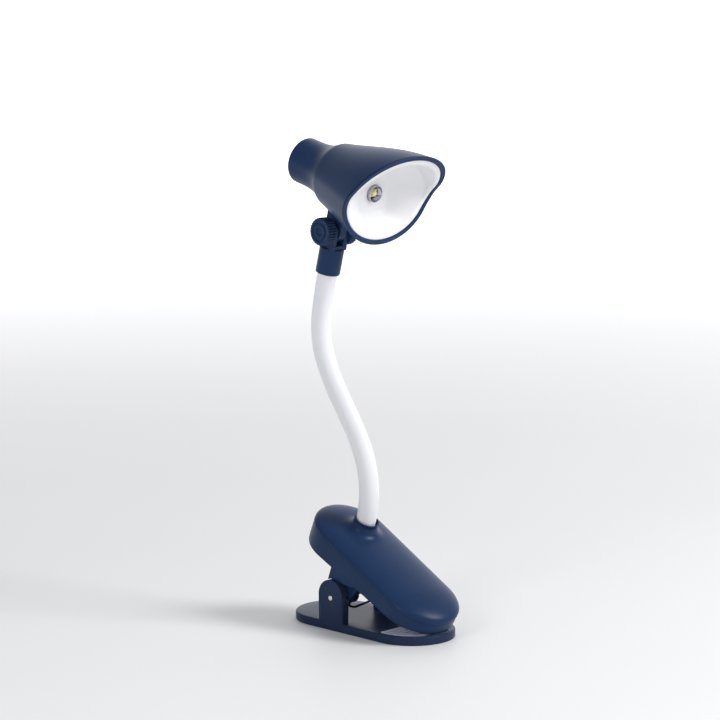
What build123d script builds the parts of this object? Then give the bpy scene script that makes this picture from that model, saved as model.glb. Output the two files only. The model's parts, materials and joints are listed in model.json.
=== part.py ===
from build123d import *
from math import atan, cos, degrees, radians, sin
import os

# Clip-on reading lamp, in millimetres.
# +X is the front, where the clip's jaws and the head point; +Z is up; +Y is the lamp's left.
# The origin is the centre of the base plate's underside. All but the small parts is symmetric about Y = 0.

# ---- driving dimensions -------------------------------------------------------------------------
PLATE_LENGTH = 101.6
PLATE_WIDTH = 46.0
PLATE_THICKNESS = 4.6
EAR_THICKNESS = 5.0
EAR_RADIUS = 8.9
EAR_CENTRE_Z = 18.5
HINGE_X = -10.3
HINGE_Z = 17.6
PIN_RADIUS = 1.5

JAW_TILT = 25.6            # degrees the jaw is pitched down towards its tip when closed
JAW_LENGTH = 101.0
JAW_WIDTH = 44.0
JAW_RISE = 13.8            # from the hinge axis to the jaw's underside
JAW_MIDDLE = 9.3           # from the hinge axis forward to the jaw's middle
BODY_HEIGHT = 9.6          # at the jaw's middle; the parting line drops towards the tip
COVER_TILT = 3.3           # degrees between the parting line and the jaw's underside
DRAFT = 0.7                # how far the jaw's underside is inset all round
COVER_HEIGHT = 7.0
COVER_SKIRT = 1.2
WALL = 2.0
GAP = 0.15                 # assembly clearance between pieces that do not move

COLLAR_X = -13.0           # in the jaw's own frame
COLLAR_MOUTH = 24.3        # the mouth above the jaw's underside
COLLAR_RADIUS = 6.9
COLLAR_BORE = 6.1

NECK_ROOT_DEPTH = 8.4      # the neck's curve starts this far below the collar's mouth
NECK_ARCS = [(47.0, -51.8), (13.5, -8.0), (16.5, -1.5), (20.5, 10.0), (27.0, 34.0), (23.5, 6.4)]
NECK_BENDS = [23.0, 56.0, 90.0, 122.0]
BEND_SPAN = 14.0
NECK_TAIL = 8.0            # straight end held inside the cover
NECK_TIP = 10.5            # straight end held inside the socket
SLEEVE_RADIUS = 5.35
SLEEVE_BORE = 3.75
CORE_RADIUS = 3.65
CORE_BORE = 2.3
WIRE_RADIUS = 0.75
WIRE_OFFSET = 0.95

SOCKET_LENGTH = 14.6
SOCKET_RADIUS = 6.65
FORK_WIDTH = 10.9
FORK_BASE = 2.0
PIVOT_RISE = 23.9          # from the socket's lower edge up to the tilt axis
LUG_THICKNESS = 4.6
LUG_RADIUS = 6.0
SCREW_RADIUS = 2.0
RUNNING = 0.05             # radial clearance of everything that turns
KNOB_RADIUS = 7.5
NUT_RADIUS = 8.3
KNOB_FACE = 11.8           # outer face of the thumb knob from the middle plane
NUT_FACE = 9.8

HEAD_TILT = 14.0           # degrees the head points down
PIVOT_U = 5.0              # the tilt axis in the head's own frame
PIVOT_W = -29.2
SEAM_RADIUS = 17.5
CAP_LENGTH = 26.6
CAP_RADIUS = 12.5
SHADE_WALL = 2.3
RIM_LIP = 0.5              # the liner's front edge lies this far behind the shade's
BOWL_BACK = 27.7
LED_DROP = 1.2             # the LED's axis below the head's own
BOWL_SIZE = 22.0
BAND = 2.1                 # width of the liner's flat edge band
WINDOW_RADIUS = 4.7
CUP_PROUD = 2.0             # the LED's cup stands forward of the bowl's back wall
CUP_BORE = 2.95
EMITTER_RISE = 3.4
BUTTON_RADIUS = 5.4
BUTTON_PROUD = 2.0


# ---- frames -------------------------------------------------------------------------------------
JAW_PLACE = Pos(HINGE_X, 0, HINGE_Z) * Rot(0, JAW_TILT, 0)
PARTING = JAW_RISE + BODY_HEIGHT
COVER_PLACE = Pos(JAW_MIDDLE, 0, PARTING) * Rot(0, COVER_TILT, 0)
CROWN = PARTING + COVER_HEIGHT + (JAW_MIDDLE - COLLAR_X) * sin(radians(COVER_TILT))
MOUTH = JAW_RISE + COLLAR_MOUTH


def neck_root():
    """World X and Z of the point where the neck's curve starts, on the collar's axis."""
    tilt = radians(JAW_TILT)
    rise = MOUTH - NECK_ROOT_DEPTH
    x = HINGE_X + COLLAR_X * cos(tilt) + rise * sin(tilt)
    z = HINGE_Z - COLLAR_X * sin(tilt) + rise * cos(tilt)
    return x, z


def neck_station(distance):
    """X, Z and forward lean in radians of the neck's centre line, at a distance from its root."""
    x, z = neck_root()
    lean = radians(JAW_TILT)
    if distance < 0:
        return x + distance * sin(lean), z + distance * cos(lean), lean
    left = distance
    for length, turn in NECK_ARCS:
        step = min(left, length)
        bend = radians(turn) / length
        x += (cos(lean) - cos(lean + bend * step)) / bend
        z += (sin(lean + bend * step) - sin(lean)) / bend
        lean += bend * step
        left -= step
        if left <= 0:
            break
    return x + left * sin(lean), z + left * cos(lean), lean


NECK_LENGTH = sum(length for length, turn in NECK_ARCS)
SOCKET_X, SOCKET_Z, SOCKET_LEAN = neck_station(NECK_LENGTH)
SOCKET_PLACE = Pos(SOCKET_X, 0, SOCKET_Z) * Rot(0, degrees(SOCKET_LEAN), 0)
PIVOT_X = SOCKET_X + PIVOT_RISE * sin(SOCKET_LEAN)
PIVOT_Z = SOCKET_Z + PIVOT_RISE * cos(SOCKET_LEAN)
SEAM_X = PIVOT_X - PIVOT_U * cos(radians(HEAD_TILT)) - PIVOT_W * sin(radians(HEAD_TILT))
SEAM_Z = PIVOT_Z + PIVOT_U * sin(radians(HEAD_TILT)) - PIVOT_W * cos(radians(HEAD_TILT))
HEAD_PLACE = Pos(SEAM_X, 0, SEAM_Z) * Rot(0, HEAD_TILT, 0)
LED_PLACE = HEAD_PLACE * Pos(0, 0, -LED_DROP)


# ---- shared shapes ------------------------------------------------------------------------------
def y_cylinder(x, z, radius, y_low, y_high):
    """A cylinder along Y."""
    return Pos(x, (y_low + y_high) / 2, z) * Rot(90, 0, 0) * Cylinder(radius, y_high - y_low)


def x_cylinder(y, z, radius, x_low, x_high):
    """A cylinder along X."""
    return Pos((x_low + x_high) / 2, y, z) * Rot(0, 90, 0) * Cylinder(radius, x_high - x_low)


def z_cylinder(x, y, radius, z_low, z_high):
    """A cylinder along Z."""
    return Pos(x, y, (z_low + z_high) / 2) * Cylinder(radius, z_high - z_low)


def block(x_low, x_high, y_low, y_high, z_low, z_high):
    """A box between two corners."""
    middle = Pos((x_low + x_high) / 2, (y_low + y_high) / 2, (z_low + z_high) / 2)
    return middle * Box(x_high - x_low, y_high - y_low, z_high - z_low)


def side_slab(sketch, y_low, y_high):
    """A sketch drawn in X and Z, made into a slab between two Y values."""
    plane = Plane(origin=(0, y_high, 0), x_dir=(1, 0, 0), z_dir=(0, -1, 0))
    return extrude(plane * sketch, amount=y_high - y_low)


def pill(length, width, z_low, z_high, taper=0):
    """A stadium-shaped block; a negative taper makes it wider upwards."""
    outline = Plane.XY.offset(z_low) * SlotOverall(length, width)
    return extrude(outline, amount=z_high - z_low, taper=taper)


def pill_dome(inset):
    """The cover's stadium-shaped dome, with an elliptic crown above a short upright skirt."""
    length = JAW_LENGTH - 2 * inset
    width = JAW_WIDTH - 2 * inset
    height = COVER_HEIGHT - inset
    skirt = COVER_SKIRT
    half = width / 2
    reach = (length - width) / 2
    crown = Pos(0, skirt) * Ellipse(half, height - skirt)
    crown = crown & Pos(0, height / 2) * Rectangle(width, height)
    profile = crown + Pos(0, skirt / 2) * Rectangle(width, skirt)
    right = profile & Pos(half / 2, height / 2) * Rectangle(half, height)
    across = Plane(origin=(-reach, 0, 0), x_dir=(0, 1, 0), z_dir=(1, 0, 0))
    dome = extrude(across * profile, amount=2 * reach)
    for end in (-reach, reach):
        dome += Pos(end, 0, 0) * revolve(Plane.XZ * right, Axis.Z)
    return dome


def under_parting(gap):
    """Everything in the jaw's frame that lies below the sloping parting plane."""
    return COVER_PLACE * block(-80, 80, -40, 40, -60, -gap)


def ribbed_disc(radius, y_low, y_high, ribs, depth):
    """A knob blank along Y with upright finger ribs round its edge."""
    disc = y_cylinder(0, 0, radius, y_low, y_high)
    edge = disc.edges().filter_by(GeomType.CIRCLE)
    disc = chamfer(edge, 0.8)
    middle = (y_low + y_high) / 2
    groove = Rot(90, 0, 0) * Box(2 * depth, depth, y_high - y_low - 1.6)
    for index in range(ribs):
        disc -= Rot(0, index * 360 / ribs, 0) * Pos(radius, middle, 0) * groove
    return disc


def save(name, shape):
    """Write one piece, or one group of identical pieces, to its own file."""
    export_step(shape, f"parts/{name}.step")


# ---- clip: base plate side ----------------------------------------------------------------------
def ear_sketch():
    upright = Pos(HINGE_X, EAR_CENTRE_Z / 2) * Rectangle(2 * EAR_RADIUS, EAR_CENTRE_Z)
    return upright + Pos(HINGE_X, EAR_CENTRE_Z) * Circle(EAR_RADIUS)


PAD_INSET = 2.6
PAD_DEPTH = 0.9
PAD_PROUD = 0.6
PAD_START = 25.0
PAD_END = 46.0


def lower_pad_blank(inset, z_low, z_high):
    """The pad's outline: the plate's own rounded end, cut straight across behind and at the tip."""
    outline = SlotOverall(PLATE_LENGTH - 2 * PAD_INSET - 2 * inset, PLATE_WIDTH - 2 * PAD_INSET - 2 * inset)
    length = PAD_END - PAD_START - 2 * inset
    strip = Pos((PAD_END + PAD_START) / 2, 0) * Rectangle(length, PLATE_WIDTH)
    return extrude(Plane.XY.offset(z_low) * (outline & strip), amount=z_high - z_low)


def base_plate():
    plate = extrude(SlotOverall(PLATE_LENGTH, PLATE_WIDTH), amount=PLATE_THICKNESS)
    plate = fillet(plate.edges().group_by(Axis.Z)[-1], 0.9)
    plate = chamfer(plate.edges().group_by(Axis.Z)[0], 0.4)
    for side in (-1, 1):
        outer = side * PLATE_WIDTH / 2
        inner = side * (PLATE_WIDTH / 2 - EAR_THICKNESS)
        ear = side_slab(ear_sketch(), min(inner, outer), max(inner, outer))
        plate += ear - block(-40, 40, -30, 30, -1, PLATE_THICKNESS / 2)
    plate -= y_cylinder(HINGE_X, HINGE_Z, PIN_RADIUS + 0.02, -30, 30)
    pocket = PLATE_THICKNESS - PAD_DEPTH
    return plate - lower_pad_blank(0, pocket, PLATE_THICKNESS + 1)


def lower_pad():
    low = PLATE_THICKNESS - PAD_DEPTH
    high = PLATE_THICKNESS + PAD_PROUD
    pad = lower_pad_blank(0.1, low, high)
    for index in range(5):
        x = PAD_START + 3 + index * 3.6
        pad -= block(x, x + 1.0, -30, 30, high - 0.4, high + 1)
    return pad


def hinge_pin():
    pin = y_cylinder(HINGE_X, HINGE_Z, PIN_RADIUS, -PLATE_WIDTH / 2 - 0.2, PLATE_WIDTH / 2 + 0.2)
    return chamfer(pin.edges().filter_by(GeomType.CIRCLE), 0.3)


COIL_RADIUS = 4.2
SPRING_WIRE = 0.65
COIL_TURNS = 5
COIL_Y = -12.3


HOOK_X = 19.0


def torsion_spring():
    """Close-wound coil round the hinge pin, one leg hooked in the jaw, one on the plate."""
    pitch = 2 * SPRING_WIRE * 0.9
    coil = None
    for turn in range(COIL_TURNS):
        centre = Pos(HINGE_X, COIL_Y + turn * pitch, HINGE_Z)
        ring = centre * Rot(90, 0, 0) * Torus(COIL_RADIUS, SPRING_WIRE)
        coil = ring if coil is None else coil + ring
    bottom = HINGE_Z - COIL_RADIUS
    foot = (JAW_PLACE * Pos(HOOK_X, COIL_Y, JAW_RISE - 4.5)).position
    tip = (JAW_PLACE * Pos(HOOK_X, COIL_Y, JAW_RISE + WALL + 1.0)).position
    knee = (HINGE_X + 6.5, COIL_Y, bottom - 1.8)
    front = Polyline((HINGE_X, COIL_Y, bottom), knee, (foot.X, COIL_Y, foot.Z), (tip.X, COIL_Y, tip.Z))
    last = COIL_Y + (COIL_TURNS - 1) * pitch
    rest = PLATE_THICKNESS + SPRING_WIRE + 0.1
    rear = Polyline((HINGE_X, last, bottom), (-24.0, last, rest), (-34.0, last, rest))
    for route in (front, rear):
        start = Plane(origin=route @ 0, z_dir=route % 0)
        coil += sweep(start * Circle(SPRING_WIRE), path=route, transition=Transition.RIGHT)
    return coil


# ---- clip: jaw side -----------------------------------------------------------------------------
EAR_INNER_Y = 13.6
EAR_OUTER_Y = 17.7
SKIRT_OUTER_Y = 21.2
SCREW_SPOTS = [(27.0, 15.8), (27.0, -15.8), (-20.0, 15.8), (-20.0, -15.8)]
BOSS_RADIUS = 2.9


def jaw_ears():
    """The jaw's hinge ears, with the skirts that reach out over the plate's ears."""
    top = JAW_RISE + 1.0
    strap = Polygon((-8.3, top), (-7.3, -2.0), (5.5, -5.2), (12.0, top), align=None)
    ear = (strap + Circle(7.3)) - Circle(PIN_RADIUS + RUNNING)
    skirt = Polygon((-8.3, top), (-7.4, 5.6), (-1.0, 9.4), (10.5, top - 1.2), (11.0, top), align=None)
    skirt -= Circle(EAR_CENTRE_Z - HINGE_Z + EAR_RADIUS + 0.35)
    ears = []
    for side in (-1, 1):
        low, high = sorted((side * EAR_INNER_Y, side * EAR_OUTER_Y))
        ears.append(side_slab(ear, low, high))
        low, high = sorted((side * (EAR_OUTER_Y - 0.5), side * SKIRT_OUTER_Y))
        ears.append(side_slab(skirt, low, high))
    return ears


UPPER_PAD_START = 33.0
UPPER_PAD_END = 54.5
UPPER_PAD_INSET = 4.2


def upper_pad_blank(inset, z_low, z_high):
    outline = Pos(JAW_MIDDLE, 0) * SlotOverall(JAW_LENGTH - 2 * inset, JAW_WIDTH - 2 * inset)
    length = UPPER_PAD_END - UPPER_PAD_START - 2 * (inset - UPPER_PAD_INSET)
    strip = Pos((UPPER_PAD_START + UPPER_PAD_END) / 2, 0) * Rectangle(length, JAW_WIDTH)
    return extrude(Plane.XY.offset(z_low) * (outline & strip), amount=z_high - z_low)
def jaw_body():
    """The tray that holds the electrics, with the hinge ears under it."""
    taper = -degrees(atan(DRAFT / BODY_HEIGHT))
    tall = BODY_HEIGHT + 6
    outer = pill(JAW_LENGTH - 2 * DRAFT, JAW_WIDTH - 2 * DRAFT, 0, tall, taper)
    outer = fillet(outer.edges().group_by(Axis.Z)[0], 1.2)
    inset = 2 * (DRAFT + WALL)
    body = outer - pill(JAW_LENGTH - inset, JAW_WIDTH - inset, WALL, tall + 1)
    body = (Pos(JAW_MIDDLE, 0, JAW_RISE) * body) & under_parting(0)
    for piece in jaw_ears():
        body += piece
    for x, y in SCREW_SPOTS:
        body += z_cylinder(x, y, BOSS_RADIUS, JAW_RISE + 1, PARTING + 5) & under_parting(GAP)
    for x, y in SCREW_SPOTS:
        body -= z_cylinder(x, y, 1.3, JAW_RISE - 1, PARTING + 5)
        body -= z_cylinder(x, y, 2.3, JAW_RISE - 1, JAW_RISE + 2.2)
    for x in (-32.0, -10.0):
        body += z_cylinder(x, 0, 2.0, JAW_RISE + 1, BOARD_TOP - BOARD_THICKNESS)
    body -= z_cylinder(HOOK_X, COIL_Y, 1.1, JAW_RISE - 1, JAW_RISE + WALL + 1)
    body -= inlet_hole(0.25)
    body -= upper_pad_blank(UPPER_PAD_INSET, JAW_RISE - 1, JAW_RISE + PAD_DEPTH)
    return JAW_PLACE * body


def upper_pad():
    low = JAW_RISE - PAD_PROUD
    pad = upper_pad_blank(UPPER_PAD_INSET + 0.1, low, JAW_RISE + PAD_DEPTH)
    for index in range(5):
        x = UPPER_PAD_START + 2.6 + index * 3.6
        pad -= block(x, x + 1.0, -30, 30, low - 1, low + 0.4)
    return JAW_PLACE * pad


def collar_blank():
    """The flared collar round the neck, as a turned ring on the cover's crown."""
    throat = COLLAR_RADIUS - 0.35
    flare = 12.6
    low = CROWN - 1.9
    foot = CROWN - 1.3
    with BuildSketch(Plane.XZ) as ring:
        with BuildLine():
            Polyline((0, low), (flare, low), (flare, foot))
            ThreePointArc((flare, foot), (throat + 1.7, foot + 1.9), (throat, foot + 5.4))
            Polyline((throat, foot + 5.4), (COLLAR_RADIUS, MOUTH), (0, MOUTH), (0, low))
        make_face()
    return Pos(COLLAR_X, 0, 0) * revolve(ring.sketch, Axis.Z)


def top_cover():
    cover = pill_dome(0) - pill_dome(WALL)
    inset = 2 * (DRAFT + WALL + GAP)
    lip = pill(JAW_LENGTH - inset, JAW_WIDTH - inset, -1.6, COVER_SKIRT)
    lip += pill(JAW_LENGTH - 2, JAW_WIDTH - 2, 0, COVER_SKIRT)
    lip -= pill(JAW_LENGTH - inset - 2.4, JAW_WIDTH - inset - 2.4, -2, COVER_SKIRT + 1)
    cover = COVER_PLACE * (cover + lip)
    cover += collar_blank()
    hold = COVER_PLACE * pill_dome(0.5)
    for x, y in SCREW_SPOTS:
        cover += z_cylinder(x, y, 2.7, PARTING - 5, MOUTH) & hold
    for x, y in SCREW_SPOTS:
        cover -= z_cylinder(x, y, BOSS_RADIUS + GAP, JAW_RISE, PARTING + 5) & under_parting(0)
        cover -= z_cylinder(x, y, 1.13, PARTING - 5, PARTING + 3.6)
    cover -= z_cylinder(COLLAR_X, 0, COLLAR_BORE, PARTING, MOUTH + 1)
    return JAW_PLACE * cover


def cover_screws():
    screws = []
    for x, y in SCREW_SPOTS:
        shank = z_cylinder(x, y, 1.1, JAW_RISE + 1.0, PARTING + 3.4)
        head = z_cylinder(x, y, 2.1, JAW_RISE + 0.6, JAW_RISE + 2.2)
        slot = block(x - 1.4, x + 1.4, y - 0.3, y + 0.3, JAW_RISE, JAW_RISE + 1.3)
        cross = block(x - 0.3, x + 0.3, y - 1.4, y + 1.4, JAW_RISE, JAW_RISE + 1.3)
        screws.append(JAW_PLACE * (shank + head - slot - cross))
    return Compound(children=screws)


ANCHOR_TOP = CROWN - 2.9
ANCHOR_DEPTH = 5.5


def neck_anchor():
    """Clamp ring that grips the neck's lower end against the cover's crown."""
    ring = z_cylinder(COLLAR_X, 0, 8.6, ANCHOR_TOP - ANCHOR_DEPTH, ANCHOR_TOP)
    ring -= z_cylinder(COLLAR_X, 0, SLEEVE_RADIUS + 0.02, JAW_RISE, MOUTH)
    split = block(COLLAR_X - 12, COLLAR_X, -0.5, 0.5, JAW_RISE, MOUTH)
    return JAW_PLACE * (ring - split)


CELL_START = -1.0
CELL_LENGTH = 46.0
CELL_WIDTH = 22.0
CELL_HEIGHT = 7.2
CELL_FLOOR = JAW_RISE + WALL + 0.1


def battery_cell():
    """Flat pouch cell with the folded seam at its rear end."""
    pouch = block(CELL_START, CELL_START + CELL_LENGTH, -CELL_WIDTH / 2, CELL_WIDTH / 2, 0, CELL_HEIGHT)
    pouch = fillet(pouch.edges().filter_by(Axis.X), 2.2)
    seam = block(CELL_START - 3.0, CELL_START + 0.5, -CELL_WIDTH / 2 + 1, CELL_WIDTH / 2 - 1, 2.4, 3.4)
    return JAW_PLACE * Pos(0, 0, CELL_FLOOR) * (pouch + seam)


BOARD_REAR = -35.0
BOARD_FRONT = -7.0
BOARD_HALF = 10.0
BOARD_THICKNESS = 1.2
PORT_MOUTH = -40.0
PORT_WIDTH = 9.0
PORT_HEIGHT = 3.2
BOARD_TOP = JAW_RISE + 4.8
PORT_Z = BOARD_TOP + PORT_HEIGHT / 2


def inlet_hole(margin):
    """Rounded slot through the jaw's rear wall."""
    slot = SlotOverall(PORT_WIDTH + 2 * margin, PORT_HEIGHT + 2 * margin)
    plane = Plane(origin=(-60, 0, PORT_Z), x_dir=(0, 1, 0), z_dir=(1, 0, 0))
    return extrude(plane * slot, amount=28)


def control_board():
    board = block(BOARD_REAR, BOARD_FRONT, -BOARD_HALF, BOARD_HALF, BOARD_TOP - BOARD_THICKNESS, BOARD_TOP)
    board += block(-24.5, -20, -2.5, 2.5, BOARD_TOP - 0.1, BOARD_TOP + 1.4)
    board += block(-28, -25, 5.5, 9.0, BOARD_TOP - 0.1, BOARD_TOP + 1.8)
    board += block(-28, -25, -9.0, -5.5, BOARD_TOP - 0.1, BOARD_TOP + 1.0)
    return JAW_PLACE * board


def charging_port():
    """Metal shell of the charging inlet, open to the rear, with its tongue."""
    plane = Plane(origin=(PORT_MOUTH, 0, PORT_Z), x_dir=(0, 1, 0), z_dir=(1, 0, 0))
    shell = extrude(plane * SlotOverall(PORT_WIDTH, PORT_HEIGHT), amount=7.3)
    cavity = Plane(origin=(PORT_MOUTH - 1, 0, PORT_Z), x_dir=(0, 1, 0), z_dir=(1, 0, 0))
    shell -= extrude(cavity * SlotOverall(PORT_WIDTH - 0.6, PORT_HEIGHT - 0.6), amount=7.0)
    shell += block(PORT_MOUTH + 1.2, PORT_MOUTH + 7, -3.3, 3.3, PORT_Z - 0.35, PORT_Z + 0.35)
    return JAW_PLACE * shell


LEAD_RADIUS = 0.55


def battery_leads():
    """Two leads from the cell's seam back to the control board."""
    leads = []
    for side in (-1, 1):
        start = (CELL_START - 3.1, side * 5.0, CELL_FLOOR + 2.9)
        end = (BOARD_FRONT - 2.5, side * 6.0, BOARD_TOP + LEAD_RADIUS + 0.05)
        route = Polyline(start, (CELL_START - 4.5, side * 5.2, BOARD_TOP + LEAD_RADIUS + 0.05), end)
        plane = Plane(origin=route @ 0, z_dir=route % 0)
        wire = sweep(plane * Circle(LEAD_RADIUS), path=route, transition=Transition.RIGHT)
        leads.append(JAW_PLACE * wire)
    return Compound(children=leads)


# ---- neck ---------------------------------------------------------------------------------------
def neck_stops():
    """Distances along the neck where a stiff stretch turns into a bending one, from end to end."""
    stops = [-NECK_TAIL]
    for centre in NECK_BENDS:
        stops += [centre - BEND_SPAN / 2, centre + BEND_SPAN / 2]
    return stops + [NECK_LENGTH + NECK_TIP]


def neck_route(start, end):
    """The neck's centre line between two distances, as a wire of arcs and straights."""
    joins = [0.0]
    for length, turn in NECK_ARCS:
        joins.append(joins[-1] + length)
    cuts = [start] + [join for join in joins if start + 0.01 < join < end - 0.01] + [end]
    edges = []
    for low, high in zip(cuts, cuts[1:]):
        ends = [neck_station(distance) for distance in (low, (low + high) / 2, high)]
        points = [(x, 0, z) for x, z, lean in ends]
        straight = high <= 0 or low >= NECK_LENGTH
        edges.append(Line(points[0], points[2]) if straight else ThreePointArc(*points))
    return Wire(edges)


def neck_tube(start, end, outer, bore=0.0, side=0.0):
    """A round tube or rod that follows the neck between two distances."""
    route = neck_route(start, end)
    x, z, lean = neck_station(start)
    plane = Plane(origin=(x, side, z), x_dir=(0, 1, 0), z_dir=(sin(lean), 0, cos(lean)))
    ring = Circle(outer)
    if bore:
        ring -= Circle(bore)
    return sweep(plane * ring, path=route)


def wire_pair(start, end):
    return [neck_tube(start, end, WIRE_RADIUS, side=side) for side in (-WIRE_OFFSET, WIRE_OFFSET)]


def save_neck():
    """Five stiff stretches, and between them four short ones that bend."""
    stops = neck_stops()
    for index in range(len(NECK_BENDS) + 1):
        start, end = stops[2 * index], stops[2 * index + 1]
        save(f"neck_sleeve_{index + 1}", neck_tube(start, end, SLEEVE_RADIUS, SLEEVE_BORE))
        save(f"gooseneck_{index + 1}", neck_tube(start, end, CORE_RADIUS, CORE_BORE))
        save(f"lamp_wires_{index + 1}", Compound(children=wire_pair(start, end)))
    for index in range(len(NECK_BENDS)):
        start, end = stops[2 * index + 1] + 0.02, stops[2 * index + 2] - 0.02
        sleeve = neck_tube(start, end, SLEEVE_RADIUS, SLEEVE_BORE)
        core = neck_tube(start, end, CORE_RADIUS, CORE_BORE)
        save(f"neck_bend_{index + 1}", Compound(children=[sleeve, core] + wire_pair(start, end)))


# ---- socket and tilt joint ----------------------------------------------------------------------
def neck_socket():
    """The cup that holds the neck's upper end, with the fork for the head on top."""
    half = FORK_WIDTH / 2
    cup = z_cylinder(0, 0, SOCKET_RADIUS, 0, SOCKET_LENGTH)
    cup = fillet(cup.edges().filter_by(GeomType.CIRCLE), 0.5)
    base_top = SOCKET_LENGTH + FORK_BASE
    cup += block(-half, half, -half, half, SOCKET_LENGTH - 1, base_top)
    cheek = Pos(0, (base_top + PIVOT_RISE) / 2) * Rectangle(FORK_WIDTH - 0.6, PIVOT_RISE - base_top + 1)
    cheek += Pos(0, PIVOT_RISE) * Circle(half - 0.3)
    cup += side_slab(cheek, -half, half)
    slot = LUG_THICKNESS / 2 + GAP
    cup -= block(-10, 10, -slot, slot, base_top, PIVOT_RISE + 10)
    cup -= y_cylinder(0, PIVOT_RISE, SCREW_RADIUS + RUNNING, -20, 20)
    cup -= z_cylinder(0, 0, SLEEVE_RADIUS + 0.03, -1, NECK_TIP + 0.1)
    cup -= z_cylinder(0, 0, CORE_BORE, 0, base_top + 1)
    return SOCKET_PLACE * cup


KNOB_BACK = FORK_WIDTH / 2 + 0.2
HEX_RADIUS = 4.0


def hexagon_bar(radius, y_low, y_high):
    return side_slab(RegularPolygon(radius, 6), y_low, y_high)


def thumb_knob():
    """Ribbed knob on the lamp's right, with a raised ring on its face."""
    knob = ribbed_disc(KNOB_RADIUS, -KNOB_FACE, -KNOB_BACK, 30, 0.6)
    knob -= y_cylinder(0, 0, 5.5, -KNOB_FACE - 1, -KNOB_FACE + 0.7)
    knob += y_cylinder(0, 0, 3.9, -KNOB_FACE + 0.1, -KNOB_FACE + 1)
    knob -= y_cylinder(0, 0, 2.4, -KNOB_FACE - 1, -KNOB_FACE + 0.6)
    knob -= hexagon_bar(HEX_RADIUS + 0.05, -KNOB_BACK - 3.0, 0)
    return Pos(PIVOT_X, 0, PIVOT_Z) * knob


def tilt_screw():
    """The screw moulded into the thumb knob, which the head tilts on."""
    screw = y_cylinder(0, 0, SCREW_RADIUS, -KNOB_BACK - 2.0, NUT_FACE - 1.6)
    screw += hexagon_bar(HEX_RADIUS, -KNOB_BACK - 2.9, -KNOB_BACK - 0.1)
    return Pos(PIVOT_X, 0, PIVOT_Z) * screw


def nut_knob():
    """Ribbed cap on the lamp's left, keyed to the fork, with the nut inside."""
    knob = ribbed_disc(NUT_RADIUS, FORK_WIDTH / 2, NUT_FACE, 30, 0.6)
    knob -= hexagon_bar(HEX_RADIUS + 0.05, 0, FORK_WIDTH / 2 + 3.2)
    knob -= y_cylinder(0, 0, SCREW_RADIUS + 0.2, 0, NUT_FACE - 1.0)
    return Pos(PIVOT_X, 0, PIVOT_Z) * knob


def hex_nut():
    nut = hexagon_bar(HEX_RADIUS, FORK_WIDTH / 2, FORK_WIDTH / 2 + 3.1)
    return Pos(PIVOT_X, 0, PIVOT_Z) * (nut - y_cylinder(0, 0, SCREW_RADIUS + RUNNING, 0, 20))


# ---- head ---------------------------------------------------------------------------------------
def head_section(u, half_width, half_height, drop=0.0, inset=0.0):
    plane = Plane(origin=(u, 0, -drop), x_dir=(0, 1, 0), z_dir=(1, 0, 0))
    return plane * Ellipse(half_width - inset, half_height - inset)


def shade_loft(inset=0.0):
    """The bell of the shade, from the round seam to past the mouth."""
    sections = [
        head_section(0.0, SEAM_RADIUS, SEAM_RADIUS, 0.0, inset),
        head_section(12.0, 21.9, 20.1, 0.0, inset),
        head_section(33.0, 29.8, 25.0, 0.1, inset),
        head_section(61.0, 38.8, 28.0, 1.7, inset),
    ]
    return loft(sections)


def mouth_front(shift=0.0):
    """Everything in front of the shade's mouth, which sweeps forward towards the top."""
    side = Plane(origin=(shift, 0, 0), x_dir=(1, 0, 0), z_dir=(0, -1, 0))
    with BuildSketch(side) as front:
        with BuildLine():
            Line((38.0, -45), (38.0, -9))
            points = [(38.0, -9), (40.2, 0.6), (44.4, 7.2), (51.1, 19.5), (56.8, 33)]
            Spline(*points, tangents=[(0, 1), (0.45, 1)])
            Polyline((56.8, 33), (90, 45), (90, -45), (38.0, -45))
        make_face()
    return extrude(front.sketch, amount=60, both=True)


SPIGOT_LENGTH = 2.4


def shade():
    hollow = shade_loft(SHADE_WALL)
    shell = shade_loft() - hollow
    shell -= mouth_front()
    for u in LUG_SCREW_U:
        shell -= z_cylinder(u, 0, 0.95, -30, 0)
    return HEAD_PLACE * shell


def bowl_loft(grow):
    """The white bowl, from its squarish back wall to past the mouth."""
    back = Plane(origin=(BOWL_BACK - grow, 0, -LED_DROP), x_dir=(0, 1, 0), z_dir=(1, 0, 0))
    inset = SHADE_WALL + BAND - grow
    sections = [
        back * RectangleRounded(BOWL_SIZE + 2 * grow, BOWL_SIZE - 2 + 2 * grow, 6.0),
        head_section(38.0, 31.4, 25.2, 0.4, inset),
        head_section(61.0, 38.8, 28.0, 1.7, inset),
    ]
    return loft(sections, ruled=True)


def reflector_liner():
    wall = 1.3
    inner_face = shade_loft(SHADE_WALL + GAP)
    band = (inner_face & mouth_front(-2.6)) - mouth_front(-RIM_LIP)
    bowl = bowl_loft(wall) & inner_face
    liner = band + (bowl - mouth_front(-RIM_LIP))
    for side in (-1, 1):
        liner += x_cylinder(side * 7.4, -LED_DROP, 1.9, BOWL_BACK - wall - 2.2, BOWL_BACK - 0.5)
    liner -= bowl_loft(0)
    for side in (-1, 1):
        liner -= x_cylinder(side * 7.4, -LED_DROP, 0.83, BOWL_BACK - 6, BOWL_BACK - 0.7)
    return HEAD_PLACE * (liner - x_cylinder(0, -LED_DROP, WINDOW_RADIUS, BOWL_BACK - 8, BOWL_BACK + 5))


BOARD_U = BOWL_BACK - 1.3 - 2.2 - 1.7   # back face of the LED board
SINK_U = BOARD_U - 3.1


def led_board():
    board = x_cylinder(0, 0, 9.5, BOARD_U, BOARD_U + 1.6)
    for side in (-1, 1):
        board -= x_cylinder(side * 7.4, 0, 0.95, BOARD_U - 1, BOARD_U + 3)
    return LED_PLACE * board


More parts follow.
